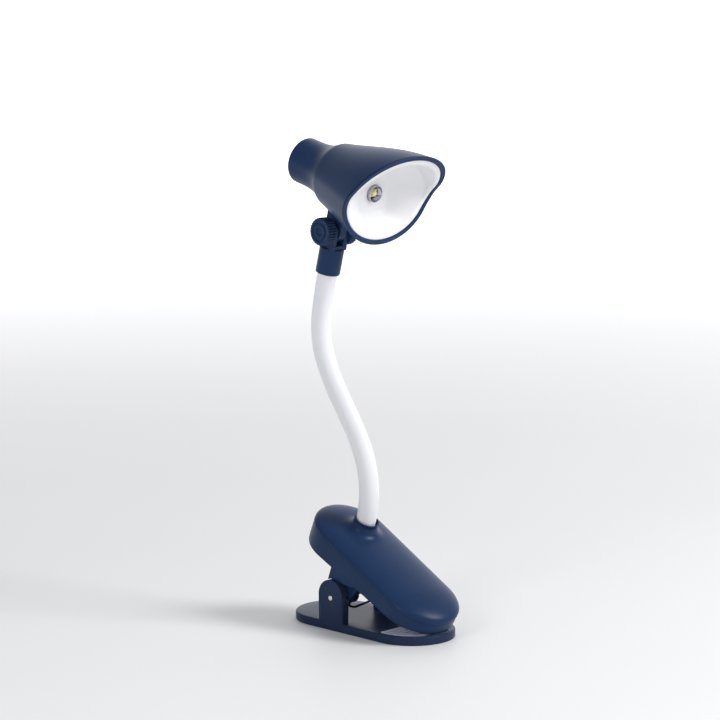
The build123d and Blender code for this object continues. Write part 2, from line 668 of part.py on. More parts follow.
def heat_sink():
    """Finned aluminium disc behind the LED board."""
    sink = x_cylinder(0, 0, 10.0, SINK_U, BOARD_U - 0.02)
    for index in range(-3, 4):
        slab = block(SINK_U - 6.0, SINK_U + 0.5, index * 2.6 - 0.5, index * 2.6 + 0.5, -8, 8)
        sink += slab & x_cylinder(0, 0, 9.4, SINK_U - 8, SINK_U + 1)
    for side in (-1, 1):
        sink -= x_cylinder(side * 7.4, 0, 1.9, SINK_U - 7, SINK_U)
        sink -= x_cylinder(side * 7.4, 0, 0.95, SINK_U - 7, BOARD_U + 1)
    return LED_PLACE * sink


def board_screws():
    screws = []
    for side in (-1, 1):
        screw = x_cylinder(side * 7.4, 0, 0.8, SINK_U - 0.5, BOWL_BACK - 1.2)
        screw += x_cylinder(side * 7.4, 0, 1.7, SINK_U - 1.6, SINK_U - 0.02)
        screws.append(LED_PLACE * screw)
    return Compound(children=screws)


def led_emitter():
    """The yellow phosphor chip under its clear dome, on a square pedestal."""
    foot = BOARD_U + 1.6
    seat = foot + EMITTER_RISE
    base = block(foot, seat, -2.0, 2.0, -2.0, 2.0)
    dome = Pos(seat, 0, 0) * Sphere(1.8) & block(seat - 0.1, seat + 3, -3, 3, -3, 3)
    return LED_PLACE * (base + dome)


def led_cup():
    """Small bright cone round the LED, which stands forward through the bowl's window."""
    front = BOWL_BACK + CUP_PROUD
    rear = BOARD_U + 1.62
    cup = x_cylinder(0, 0, WINDOW_RADIUS - 0.1, rear, front)
    cup -= x_cylinder(0, 0, CUP_BORE, rear - 1, front + 1)
    cone = Plane(origin=(BOWL_BACK, 0, 0), x_dir=(0, 1, 0), z_dir=(1, 0, 0))
    mouth = Plane(origin=(front + 0.1, 0, 0), x_dir=(0, 1, 0), z_dir=(1, 0, 0))
    return LED_PLACE * (cup - loft([cone * Circle(CUP_BORE), mouth * Circle(4.3)]))


def rear_cap():
    """Waisted cap behind the seam, with a spigot that plugs into the shade."""
    end = -CAP_LENGTH
    with BuildSketch(Plane.XZ) as half:
        with BuildLine():
            Line((end, 0), (end, CAP_RADIUS - 1.0))
            ThreePointArc((end, CAP_RADIUS - 1.0), (end + 0.3, CAP_RADIUS - 0.3), (end + 1.0, CAP_RADIUS))
            Spline(
                (end + 1.0, CAP_RADIUS), (-15.5, CAP_RADIUS + 0.2), (-7.0, 14.2), (-0.1, SEAM_RADIUS - 0.2),
                tangents=[(1, -0.02), (1, 0.5)],
            )
            spigot = SEAM_RADIUS - SHADE_WALL - GAP
            Polyline((-0.1, SEAM_RADIUS - 0.2), (-0.1, spigot), (SPIGOT_LENGTH, spigot))
            Polyline((SPIGOT_LENGTH, spigot), (SPIGOT_LENGTH, spigot - 1.4), (-1.0, spigot - 1.4))
            Line((-1.0, spigot - 1.4), (-8.0, CAP_RADIUS - 1.2))
            Polyline((-8.0, CAP_RADIUS - 1.2), (end + 1.8, CAP_RADIUS - 1.9), (end + 1.8, 0), (end, 0))
        make_face()
    cap = revolve(half.sketch, Axis.X)
    return HEAD_PLACE * (cap - x_cylinder(0, 0, BUTTON_RADIUS + 0.25, end - 1, end + 3))


def switch_button():
    """Push button in the middle of the rear cap, with a flange that keeps it in."""
    end = -CAP_LENGTH
    button = x_cylinder(0, 0, BUTTON_RADIUS, end - BUTTON_PROUD, end + 2.0)
    button = fillet(button.edges().group_by(Axis.X)[0], 0.8)
    button += x_cylinder(0, 0, BUTTON_RADIUS + 1.1, end + 2.0, end + 2.8)
    return HEAD_PLACE * button


def switch_body():
    """Latching switch held across the cap on two tabs, just in front of the button."""
    end = -CAP_LENGTH
    body = block(end + 4.4, end + 11.5, -4.5, 4.5, -4.5, 4.5)
    body += block(end + 8.5, end + 10.5, -9.6, 9.6, -2.5, 2.5)
    return HEAD_PLACE * body


LUG_SCREW_U = (4.5, 8.3)
LUG_SCREW_DEPTH = 6.0


def tilt_lug():
    """The block under the shade that stands between the fork's cheeks."""
    half = LUG_THICKNESS / 2
    side = Pos(PIVOT_U, PIVOT_W / 2) * Rectangle(2 * LUG_RADIUS, -PIVOT_W)
    side += Pos(PIVOT_U, PIVOT_W) * Circle(LUG_RADIUS)
    lug = side_slab(side, -half, half) & block(-1.0, 20, -5, 5, -50, -10)
    lug -= shade_loft(-0.03)
    lug -= x_cylinder(0, 0, SEAM_RADIUS + GAP, -5, 0.2)
    lug -= y_cylinder(PIVOT_U, PIVOT_W, SCREW_RADIUS + RUNNING, -20, 20)
    for u in LUG_SCREW_U:
        lug -= z_cylinder(u, 0, 0.82, -SEAM_RADIUS - LUG_SCREW_DEPTH - 1, 0)
    return HEAD_PLACE * lug


def lug_screws():
    screws = []
    for u in LUG_SCREW_U:
        seat = -SEAM_RADIUS + SHADE_WALL - 0.23 * u
        screw = z_cylinder(u, 0, 0.8, seat - LUG_SCREW_DEPTH, seat + 1.0)
        screws.append(HEAD_PLACE * (screw + z_cylinder(u, 0, 1.5, seat + 0.7, seat + 1.9)))
    return Compound(children=screws)


def head_leads():
    """Two leads from the lug's channel to the switch and the LED board."""
    leads = []
    for side in (-1, 1):
        y = side * 4.5
        bend = [(-9.0, y, -3.0), (-2.0, y * 1.3, -8.5), (10.0, y * 1.3, -8.5)]
        route = Polyline(*bend, (SINK_U - 6.5, y * 1.2, -4.0))
        plane = Plane(origin=route @ 0, z_dir=route % 0)
        leads.append(HEAD_PLACE * sweep(plane * Circle(0.6), path=route, transition=Transition.RIGHT))
    return Compound(children=leads)


# ---- all the pieces -----------------------------------------------------------------------------
PIECES = {
    "base_plate": base_plate, "hinge_pin": hinge_pin, "lower_pad": lower_pad,
    "torsion_spring": torsion_spring, "jaw_body": jaw_body, "top_cover": top_cover,
    "upper_pad": upper_pad, "cover_screws": cover_screws,
    "neck_anchor": neck_anchor, "battery_cell": battery_cell, "battery_leads": battery_leads,
    "control_board": control_board, "charging_port": charging_port,
    "neck_socket": neck_socket, "nut_knob": nut_knob, "hex_nut": hex_nut,
    "thumb_knob": thumb_knob, "tilt_screw": tilt_screw,
    "shade": shade, "rear_cap": rear_cap, "reflector_liner": reflector_liner, "tilt_lug": tilt_lug,
    "lug_screws": lug_screws, "led_board": led_board, "led_emitter": led_emitter, "led_cup": led_cup,
    "heat_sink": heat_sink, "board_screws": board_screws, "switch_body": switch_body,
    "head_leads": head_leads, "switch_button": switch_button,
}

os.makedirs("parts", exist_ok=True)
for piece_name, make_piece in PIECES.items():
    save(piece_name, make_piece())
save_neck()
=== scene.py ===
import json
from math import acos, atan2, cos, degrees, hypot, pi, radians, sin, sqrt, tan

import bmesh
import bpy
from mathutils import Matrix, Vector


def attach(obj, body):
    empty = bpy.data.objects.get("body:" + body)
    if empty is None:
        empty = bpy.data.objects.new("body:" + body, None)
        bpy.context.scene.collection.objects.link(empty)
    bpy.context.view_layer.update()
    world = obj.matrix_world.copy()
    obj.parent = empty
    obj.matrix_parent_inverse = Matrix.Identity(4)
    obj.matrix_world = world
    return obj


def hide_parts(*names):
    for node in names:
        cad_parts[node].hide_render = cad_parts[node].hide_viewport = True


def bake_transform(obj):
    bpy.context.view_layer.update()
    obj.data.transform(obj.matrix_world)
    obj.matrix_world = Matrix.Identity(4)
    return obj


# Clip-on reading lamp. Shapes are in millimetres, like the design, until a mesh helper makes them metres.
# +X is the front, +Z is up, and the thumb knob is on -Y.

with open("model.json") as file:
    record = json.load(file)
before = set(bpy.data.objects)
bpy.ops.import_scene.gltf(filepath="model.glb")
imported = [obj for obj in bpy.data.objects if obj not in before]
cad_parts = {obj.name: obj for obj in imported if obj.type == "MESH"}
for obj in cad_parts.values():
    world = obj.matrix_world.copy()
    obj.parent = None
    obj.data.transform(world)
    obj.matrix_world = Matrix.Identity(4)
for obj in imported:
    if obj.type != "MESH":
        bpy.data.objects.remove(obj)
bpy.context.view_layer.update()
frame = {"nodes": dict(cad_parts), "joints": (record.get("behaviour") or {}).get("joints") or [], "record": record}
MM = 0.001


def joint(name):
    return next(j for j in frame["joints"] if j["name"] == name)


def joint_place(name):
    """A joint's point, in millimetres."""
    return Vector(joint(name)["pos_m"]) / MM


def pitch_of(axis):
    """How far an axis that lies in the lamp's middle plane points down, in degrees."""
    return degrees(atan2(-axis[2], axis[0]))


# ---- sizes, in millimetres, as in the design -------------------------
PLATE_LENGTH, PLATE_WIDTH, PLATE_THICKNESS = 101.6, 46.0, 4.6
EAR_THICKNESS, EAR_RADIUS, EAR_CENTRE_Z = 5.0, 8.9, 18.5
PAD_INSET, PAD_START, PAD_END, PAD_TOP, PAD_FLOOR = 2.6, 25.0, 46.0, 5.2, 3.7

JAW_LENGTH, JAW_WIDTH, JAW_RISE, JAW_MIDDLE = 101.0, 44.0, 13.8, 9.3
BODY_HEIGHT, COVER_TILT, DRAFT = 9.6, 3.3, 0.7
COVER_HEIGHT, COVER_SKIRT, WALL = 7.0, 1.2, 2.0
COLLAR_X, COLLAR_MOUTH, COLLAR_RADIUS, COLLAR_BORE, COLLAR_FLARE = -13.0, 24.3, 6.9, 6.1, 12.8
PARTING = JAW_RISE + BODY_HEIGHT
MOUTH = JAW_RISE + COLLAR_MOUTH
UPPER_PAD_START, UPPER_PAD_END, UPPER_PAD_INSET = 33.0, 54.5, 4.2
PIN_RADIUS, PIN_BORE = 1.5, 1.6
JAW_EAR, SKIRT = (13.6, 17.7), (17.4, 21.2)     # inner and outer distance from the middle plane
INLET_WIDTH, INLET_HEIGHT, INLET_RISE = 9.0, 3.2, 4.8

NECK_ROOT_DEPTH = 8.4
NECK_ARCS = [(47.0, -51.8), (13.5, -8.0), (16.5, -1.5), (20.5, 10.0), (27.0, 34.0), (23.5, 6.4)]
NECK_BENDS = [23.0, 56.0, 90.0, 122.0]
BEND_SPAN = 26.0     # each joint bends this length of the visible neck
NECK_TAIL, NECK_TIP = 8.0, 10.5
SLEEVE_RADIUS, CORE_RADIUS, WIRE_RADIUS, WIRE_OFFSET = 5.35, 3.6, 0.75, 0.95

SOCKET_LENGTH, SOCKET_RADIUS = 14.6, 6.65
FORK_WIDTH, FORK_BASE, PIVOT_RISE = 10.9, 2.0, 23.9
LUG_THICKNESS, LUG_RADIUS, LUG_LEFT = 4.6, 6.0, -1.0
KNOB_RADIUS, NUT_RADIUS, KNOB_FACE, NUT_FACE, KNOB_BACK = 7.5, 8.3, 11.8, 9.8, 5.65
RIBS, RIB_DEPTH, KNOB_EDGE = 30, 0.6, 0.8

PIVOT_U, PIVOT_W = 5.0, -29.2
SEAM_RADIUS, CAP_LENGTH, CAP_RADIUS = 17.5, 26.6, 12.5
SHADE_WALL, RIM_LIP, BAND = 2.3, 0.5, 2.1
CUP_PROUD, CUP_BORE, EMITTER_RISE = 2.0, 2.95, 3.4
BOWL_BACK, LED_DROP, BOWL_WIDTH, BOWL_HEIGHT, BOWL_CORNER = 27.7, 1.2, 22.0, 20.0, 6.0
WINDOW_RADIUS, BUTTON_RADIUS, BUTTON_PROUD = 4.7, 5.4, 2.0
# rows of (distance along the head, half width, half height, drop of the centre)
SHADE_SECTIONS = [
    (0.0, 17.5, 17.5, 0.0),
    (12.0, 21.9, 20.1, 0.0),
    (33.0, 29.8, 25.0, 0.1),
    (61.0, 38.8, 28.0, 1.7),
]
# rows of (height, distance along the head, slope)
MOUTH_LINE = [(-9.0, 38.0, 0.0), (0.6, 40.2, 0.43), (7.2, 44.4, 0.6), (19.5, 51.1, 0.5), (33.0, 56.8, 0.42)]
BOWL_SECTIONS = [(38.0, 31.4, 25.2, 0.4), (61.0, 38.8, 28.0, 1.7)]

# ---- frames ----------------------------------------------------------
MOUNTS = {m["name"]: m for m in frame["record"]["mounts"]}
HINGE = joint_place("clip_hinge")
PIVOT = joint_place("head_tilt")
JAW_TILT = 180 - abs(pitch_of(MOUNTS["charging_inlet"]["axis"]))
HEAD_TILT = pitch_of(joint("switch_press")["axis"])


def placed(point, pitch):
    return Matrix.Translation(point) @ Matrix.Rotation(radians(pitch), 4, "Y")


JAW = placed(HINGE, JAW_TILT)
COVER = JAW @ placed(Vector((JAW_MIDDLE, 0, PARTING)), COVER_TILT)
HEAD = placed(PIVOT, HEAD_TILT) @ Matrix.Translation((-PIVOT_U, 0, -PIVOT_W))
LED = HEAD @ Matrix.Translation((0, 0, -LED_DROP))
WORLD = Matrix.Identity(4)


# ---- mesh helpers ----------------------------------------------------
def put(name, data):
    """An object in the scene that shows a mesh, curve, light or camera."""
    thing = bpy.data.objects.new(name, data)
    bpy.context.scene.collection.objects.link(thing)
    return thing


def smooth(mesh, crease):
    """Smooth shading except at edges sharper than crease degrees."""
    mesh.polygons.foreach_set("use_smooth", [True] * len(mesh.polygons))
    mesh.set_sharp_from_angle(angle=radians(crease))


def finish_mesh(name, mesh, crease=35.0):
    """An object from a mesh, with its doubled points merged and its faces turned outward."""
    builder = bmesh.new()
    builder.from_mesh(mesh)
    bmesh.ops.remove_doubles(builder, verts=builder.verts, dist=0.00001)
    bmesh.ops.recalc_face_normals(builder, faces=builder.faces)
    builder.to_mesh(mesh)
    builder.free()
    smooth(mesh, crease)
    return put(name, mesh)


def skin(name, rings, place=WORLD, crease=35.0, loop=False, ends=(False, False)):
    """A surface through rings of points in millimetres, all with the same number of points."""
    size = len(rings[0])
    points = [p for ring in rings for p in ring]
    faces = []
    for row in range(len(rings) if loop else len(rings) - 1):
        low = row * size
        high = (row + 1) % len(rings) * size
        for k in range(size):
            after = (k + 1) % size
            faces.append((low + k, low + after, high + after, high + k))
    if ends[0]:
        faces.append(tuple(range(size)))
    if ends[1]:
        faces.append(tuple(range(len(points) - size, len(points))))
    mesh = bpy.data.meshes.new(name)
    mesh.from_pydata([place @ Vector(p) * MM for p in points], [], faces)
    return finish_mesh(name, mesh, crease)


def lathe_rings(profile, sides, axis):
    """Rings about an axis, from pairs of (distance along the axis, radius)."""
    rings = []
    for along, radius in profile:
        ring = []
        for k in range(sides):
            turn = 2 * pi * k / sides
            across, up = max(radius, 0.001) * cos(turn), max(radius, 0.001) * sin(turn)
            place = {"X": (along, across, up), "Y": (across, along, up), "Z": (across, up, along)}
            ring.append(place[axis])
        rings.append(ring)
    return rings


def lathe(name, profile, place, axis, sides, loop=False):
    return skin(name, lathe_rings(profile, sides, axis), place, loop=loop)


def rod(name, radius, low, high, place, axis, sides):
    """A plain cylinder."""
    return lathe(name, [(low, 0), (low, radius), (high, radius), (high, 0)], place, axis, sides)


def arc(centre, radius, start, end, steps):
    """Points on an arc, its angles in degrees."""
    turns = [radians(start + (end - start) * k / steps) for k in range(steps + 1)]
    return [(centre[0] + radius * cos(t), centre[1] + radius * sin(t)) for t in turns]


def slab(name, outline, low, high, place, bevel):
    """A plate across Y with the given X-Z outline and rounded rims."""
    builder = bmesh.new()
    front = [builder.verts.new((x, low, z)) for x, z in outline]
    back = [builder.verts.new((x, high, z)) for x, z in outline]
    builder.faces.new(front)
    builder.faces.new(list(reversed(back)))
    for k in range(len(outline)):
        after = (k + 1) % len(outline)
        builder.faces.new((front[k], back[k], back[after], front[after]))
    builder.edges.ensure_lookup_table()
    rims = [e for e in builder.edges if abs(e.verts[0].co.y - e.verts[1].co.y) < 1e-6]
    if bevel:
        bmesh.ops.bevel(builder, geom=rims, offset=bevel, segments=4, profile=0.5, affect="EDGES")
    mesh = bpy.data.meshes.new(name)
    bmesh.ops.transform(builder, matrix=Matrix.Scale(MM, 4) @ place, verts=builder.verts)
    builder.to_mesh(mesh)
    builder.free()
    return finish_mesh(name, mesh)


def combine(target, others, operation, crease=35.0):
    """Joins, cuts or keeps with other objects, which are used up."""
    for other in others:
        step = target.modifiers.new("combine", "BOOLEAN")
        step.operation = operation
        step.object = other
        step.solver = "EXACT"
    bpy.context.view_layer.update()
    result = bpy.data.meshes.new_from_object(target.evaluated_get(bpy.context.evaluated_depsgraph_get()))
    target.modifiers.clear()
    target.data = result
    smooth(result, crease)
    for other in others:
        bpy.data.objects.remove(other)
    return target


def tube(name, path, radius, sides):
    """A round wire along a list of points."""
    curve = bpy.data.curves.new(name, "CURVE")
    curve.dimensions = "3D"
    curve.bevel_depth = radius * MM
    curve.bevel_resolution = sides // 4
    curve.use_fill_caps = True
    line = curve.splines.new("POLY")
    line.points.add(len(path) - 1)
    for point, place in zip(line.points, path):
        point.co = (*(Vector(place) * MM), 1)
    holder = put(name + "_curve", curve)
    bpy.context.view_layer.update()
    mesh = bpy.data.meshes.new_from_object(holder)
    bpy.data.objects.remove(holder)
    return finish_mesh(name, mesh)


def round_off(start, corner, end, steps):
    """Points on the curve that rounds a corner off, from start to end."""
    shares = [k / steps for k in range(steps + 1)]
    return [start * (1 - t) ** 2 + corner * 2 * t * (1 - t) + end * t * t for t in shares]


def rounded_path(corners, radius, steps=8):
    """A path through corners, each one rounded."""
    path = [Vector(corners[0])]
    for before, here, after in zip(corners, corners[1:], corners[2:]):
        here = Vector(here)
        back, on = Vector(before) - here, Vector(after) - here
        cut = min(radius, back.length * 0.45, on.length * 0.45)
        start, end = here + back.normalized() * cut, here + on.normalized() * cut
        path += round_off(start, here, end, steps)
    path.append(Vector(corners[-1]))
    return path


def furthest(test, low, high, steps=40):
    """How far from low toward high a test still holds, by halving."""
    for _ in range(steps):
        middle = (low + high) / 2
        low, high = (middle, high) if test(middle) else (low, middle)
    return low


ARC_STEPS, SIDE_STEPS = 40, 24


def pill_plan(length, width):
    """Plan points of a stadium outline, anticlockwise from the middle of its right-hand end's start."""
    half = width / 2
    reach = (length - width) / 2
    plan = []
    for side in (1, -1):
        for k in range(ARC_STEPS):
            turn = radians(-90 + 180 * k / ARC_STEPS)
            plan.append((side * (reach + half * cos(turn)), side * half * sin(turn)))
        for k in range(SIDE_STEPS):
            plan.append((side * (reach - 2 * reach * k / SIDE_STEPS), side * half))
    return plan


def pill_ring(length, width, height):
    """A stadium ring at a height."""
    return [(x, y, height) for x, y in pill_plan(length, width)]


# ---- materials -------------------------------------------------------
def node_tree():
    material = bpy.data.materials.new("unnamed")
    material.use_nodes = True
    nodes = material.node_tree.nodes
    return material, nodes, nodes["Principled BSDF"]


def join(source, target):
    """Links two sockets of one node tree."""
    source.id_data.links.new(source, target)


def setting(node, values):
    """Sets constant values straight on a node's sockets."""
    for socket, value in values.items():
        node.inputs[socket].default_value = value


def noise(nodes, scale, detail, rough=0.5, stretch=(1, 1, 1)):
    """Noise in the object's own coordinates, so it stays on the surface."""
    where = nodes.new("ShaderNodeTexCoord")
    spread = nodes.new("ShaderNodeMapping")
    spread.inputs["Scale"].default_value = stretch
    join(where.outputs["Object"], spread.inputs["Vector"])
    texture = nodes.new("ShaderNodeTexNoise")
    setting(texture, {"Scale": scale, "Detail": detail, "Roughness": rough})
    join(spread.outputs["Vector"], texture.inputs["Vector"])
    return texture.outputs["Fac"]


def ramp(nodes, source, stops):
    """Colour ramp over a value, from pairs of (position, linear colour)."""
    colours = nodes.new("ShaderNodeValToRGB")
    band = colours.color_ramp
    while len(band.elements) < len(stops):
        band.elements.new(0.5)
    for element, (place, colour) in zip(band.elements, stops):
        element.position = place
        element.color = (*colour, 1.0)
    join(source, colours.inputs["Fac"])
    return colours.outputs["Color"]


def spread_to(nodes, source, low, high, start=0.0, end=1.0, curve="LINEAR"):
    """A value from start..end spread over low..high."""
    mapped = nodes.new("ShaderNodeMapRange")
    mapped.interpolation_type = curve
    setting(mapped, {"From Min": start, "From Max": end, "To Min": low, "To Max": high})
    join(source, mapped.inputs["Value"])
    return mapped.outputs["Result"]


def bump(nodes, layers, shader):
    """Stacks bump layers, from tuples of (height, strength, distance)."""
    last = None
    for height, strength, distance in layers:
        step = nodes.new("ShaderNodeBump")
        setting(step, {"Strength": strength, "Distance": distance})
        join(height, step.inputs["Height"])
        if last:
            join(last, step.inputs["Normal"])
        last = step.outputs["Normal"]
    join(last, shader.inputs["Normal"])


def tinted(nodes, colour, amount, scale, shader):
    """Base colour with a soft mottle, and a painted highlight that lightens convex edges."""
    dark = [c * (1 - amount) for c in colour]
    light = [min(1.0, c * (1 + amount)) for c in colour]
    mottle = ramp(nodes, noise(nodes, scale, 3.0), [(0.3, dark), (0.7, light)])
    shape = nodes.new("ShaderNodeNewGeometry")
    edge = ramp(nodes, shape.outputs["Pointiness"], [(0.52, (0, 0, 0)), (0.6, (1, 1, 1))])
    # painted highlight: convex edges are lightened as if they catch the light
    edge_highlight = nodes.new("ShaderNodeMix")
    edge_highlight.data_type = "RGBA"
    edge_highlight.blend_type = "MIX"
    edge_highlight.inputs[7].default_value = (*[min(1.0, c * 1.35 + 0.004) for c in colour], 1.0)
    scaled = nodes.new("ShaderNodeMath")
    scaled.operation = "MULTIPLY"
    scaled.inputs[1].default_value = 0.5
    join(edge, scaled.inputs[0])
    join(scaled.outputs["Value"], edge_highlight.inputs[0])
    join(mottle, edge_highlight.inputs[6])
    join(edge_highlight.outputs[2], shader.inputs["Base Color"])


def moulded(colour, rough, grain=0.05, coat=0.0, specular=0.5, mottle=0.06):
    """Injection-moulded plastic: faint flow mottle, fine spark-eroded grain and a few handling smears."""
    material, nodes, shader = node_tree()
    tinted(nodes, colour, mottle, 60.0, shader)
    smear = noise(nodes, 35.0, 5.0, 0.6, (1, 2.2, 0.6))
    join(spread_to(nodes, smear, *rough), shader.inputs["Roughness"])
    fine = noise(nodes, 5200.0, 2.0)
    sink = noise(nodes, 45.0, 2.0)
    bump(nodes, [(sink, 0.12, 0.0004), (fine, grain, 0.00005)], shader)
    setting(shader, {"Specular IOR Level": specular, "Coat Weight": coat, "Coat Roughness": 0.12})
    return material


def silicone(colour):
    """Soft silicone sleeve: matte bloom, faint drawing lines along it and a trace of light inside."""
    material, nodes, shader = node_tree()
    tinted(nodes, colour, 0.015, 40.0, shader)
    bloom = noise(nodes, 90.0, 4.0)
    join(spread_to(nodes, bloom, 0.42, 0.55), shader.inputs["Roughness"])
    lines = noise(nodes, 900.0, 2.0, 0.5, (1, 1, 0.02))
    fine = noise(nodes, 3500.0, 2.0)
    bump(nodes, [(lines, 0.06, 0.0001), (fine, 0.08, 0.00005)], shader)
    setting(shader, {"Subsurface Weight": 0.12, "Subsurface Radius": (0.003, 0.0028, 0.0026)})
    setting(shader, {"Subsurface Scale": 0.6, "Specular IOR Level": 0.35})
    return material


def rubber(colour):
    """Grip rubber: dull, fine pitted texture, dusty in patches."""
    material, nodes, shader = node_tree()
    dust = noise(nodes, 160.0, 6.0, 0.65)
    pale = [min(1.0, c * 1.25 + 0.02) for c in colour]
    join(ramp(nodes, dust, [(0.35, colour), (0.75, pale)]), shader.inputs["Base Color"])
    join(spread_to(nodes, dust, 0.55, 0.75), shader.inputs["Roughness"])
    bump(nodes, [(noise(nodes, 2600.0, 3.0), 0.25, 0.0001)], shader)
    return material


def metal(colour, rough, stretch=(1, 1, 1)):
    """Bright or drawn metal with fine lines and slight dulling."""
    material, nodes, shader = node_tree()
    tone = noise(nodes, 70.0, 4.0)
    dull = [c * 0.82 for c in colour]
    join(ramp(nodes, tone, [(0.3, dull), (0.7, colour)]), shader.inputs["Base Color"])
    lines = noise(nodes, 900.0, 3.0, 0.6, stretch)
    join(spread_to(nodes, lines, *rough), shader.inputs["Roughness"])
    bump(nodes, [(lines, 0.12, 0.00008)], shader)
    shader.inputs["Metallic"].default_value = 1.0
    return material


def circuit(colour):
    """Solder mask with copper tracks just showing under it."""
    material, nodes, shader = node_tree()
    where = nodes.new("ShaderNodeTexCoord")
    tracks = nodes.new("ShaderNodeTexBrick")
    darker = [c * 0.85 for c in colour]
    copper = [min(1, c * 1.6 + 0.02) for c in colour]
    setting(tracks, {"Scale": 260.0, "Mortar Size": 0.05, "Color1": (*colour, 1)})
    setting(tracks, {"Color2": (*darker, 1), "Mortar": (*copper, 1)})
    join(where.outputs["Object"], tracks.inputs["Vector"])
    join(tracks.outputs["Color"], shader.inputs["Base Color"])
    join(spread_to(nodes, tracks.outputs["Fac"], 0.3, 0.4), shader.inputs["Roughness"])
    bump(nodes, [(tracks.outputs["Fac"], 0.2, 0.00003)], shader)
    return material


def phosphor():
    """Yellow phosphor under a clear dome, not lit."""
    material, nodes, shader = node_tree()
    grain = noise(nodes, 2400.0, 3.0)
    stops = [(0.3, (0.80, 0.72, 0.34)), (0.7, (0.92, 0.86, 0.55))]
    join(ramp(nodes, grain, stops), shader.inputs["Base Color"])
    join(spread_to(nodes, grain, 0.15, 0.25), shader.inputs["Roughness"])
    bump(nodes, [(grain, 0.1, 0.00003)], shader)
    setting(shader, {"Coat Weight": 1.0, "Coat Roughness": 0.04})
    return material


NAVY = (0.0125, 0.034, 0.095)
MATERIALS = {
    "navy_plastic": moulded(NAVY, (0.29, 0.38), specular=0.13),
    "navy_gloss": moulded((0.021, 0.036, 0.080), (0.26, 0.34), 0.02, specular=0.05),
    "button_grey": moulded((0.03, 0.045, 0.085), (0.3, 0.42)),
    "pad_rubber": rubber((0.44, 0.45, 0.58)),
    "steel": metal((0.72, 0.72, 0.74), (0.12, 0.25)),
    "spring_steel": metal((0.10, 0.10, 0.115), (0.25, 0.4)),
    "core_steel": metal((0.55, 0.55, 0.58), (0.2, 0.35)),
    "cell_wrap": metal((0.60, 0.62, 0.66), (0.25, 0.4), (1, 0.1, 1)),
    "zinc": metal((0.62, 0.62, 0.63), (0.3, 0.5), (0.1, 1, 1)),
    "cup_chrome": metal((0.50, 0.50, 0.53), (0.12, 0.22)),
    "white_silicone": silicone((0.82, 0.825, 0.86)),
    "white_plastic": moulded((0.80, 0.80, 0.82), (0.3, 0.4), 0.03, 0.0, 0.4, 0.01),
    "circuit_board": circuit((0.02, 0.12, 0.05)),
    "white_board": circuit((0.75, 0.75, 0.72)),
    "wire_red": moulded((0.30, 0.012, 0.012), (0.3, 0.4)),
    "black_plastic": moulded((0.012, 0.012, 0.013), (0.35, 0.5)),
    "led_yellow": phosphor(),
}
for slot_name, material in MATERIALS.items():
    material.name = slot_name
SLOT_OF = {part["node"]: part["material_slot"] for part in frame["record"]["subparts"]}


def paint(piece, slot_name):
    piece.data.materials.clear()
    piece.data.materials.append(MATERIALS[slot_name])
    return piece


def dress(piece, body, *nodes, slot_name=None):
    """Rides on the body, stands for the nodes and takes their material."""
    slot_name = slot_name or SLOT_OF[nodes[0]]
    paint(piece, slot_name)
    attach(piece, body)
    if nodes:
        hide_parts(*nodes)
    return piece


def dress_bent(piece, slot_name, bodies, start, end, *nodes):
    """Takes the material, bakes its placement into the mesh and stands for the nodes; bodies, start and end are
    not used.
    """
    paint(piece, slot_name)
    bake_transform(piece)
    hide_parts(*nodes)


# ---- clip: plate side ------------------------------------------------
def plate_blank():
    bevel, middle = 0.9, 10.0
    rows = [(middle, 0), (0.5, 0.0), (0.15, 0.15), (0.0, 0.5)]
    rows += arc((bevel, PLATE_THICKNESS - bevel), bevel, 180, 90, 6)
    rows.append((middle, PLATE_THICKNESS))
    rings = [pill_ring(PLATE_LENGTH - 2 * inset, PLATE_WIDTH - 2 * inset, z) for inset, z in rows]
    return skin("base_plate_body", rings, ends=(True, True))


def ear_outline():
    top = arc((HINGE.x, EAR_CENTRE_Z), EAR_RADIUS, 180, 0, 48)
    foot = PLATE_THICKNESS / 2
    return [(HINGE.x - EAR_RADIUS, foot)] + top + [(HINGE.x + EAR_RADIUS, foot)]


def pad_outline(length, width, start, end, middle, inset):
    """Plan outline of a pad: a stadium's end between two straight cuts."""
    half = width / 2 - inset
    reach = (length - width) / 2
    begin, stop = start + inset_gap(inset), end - inset_gap(inset)
    turn = acos(min(1.0, (stop - middle - reach) / half))
    angles = [-pi / 2 + k * (pi / 2 - turn) / 24 for k in range(25)]
    curve = [(middle + reach + half * cos(a), half * sin(a)) for a in angles]
    return [(begin, -half)] + curve + [(x, -y) for x, y in reversed(curve)] + [(begin, half)]


def inset_gap(inset):
    return inset if inset < 0.5 else 0.0


def plan_block(name, outline, low, high, place=WORLD, bevel=0.0):
    """An upright block with the given plan."""
    upright = place @ Matrix.Rotation(radians(90), 4, "X")
    return slab(name, [(x, -y) for x, y in outline], low, high, upright, bevel)


def ribbed_pad(name, outline_inset, length, width, start, end, middle, low, high, place, ribs, up=1):
    """Grip pad with straight grooves across its face."""
    outline = pad_outline(length - 2 * outline_inset, width - 2 * outline_inset, start, end, middle, 0.1)
    pad = plan_block(name, outline, low, high, place, 0.22)
    face = high if up > 0 else low
    cutters = []
    for k in range(ribs):
        x = start + 3.0 + k * 3.6
        above, floor = face + up * 0.01, face - up * 0.4
        groove = [(x - 0.1, face + up), (x - 0.1, above), (x + 0.3, floor)]
        groove += [(x + 0.7, floor), (x + 1.1, above), (x + 1.1, face + up)]
        cutters.append(slab("groove", groove, -30, 30, place, 0))
    return combine(pad, cutters, "DIFFERENCE")


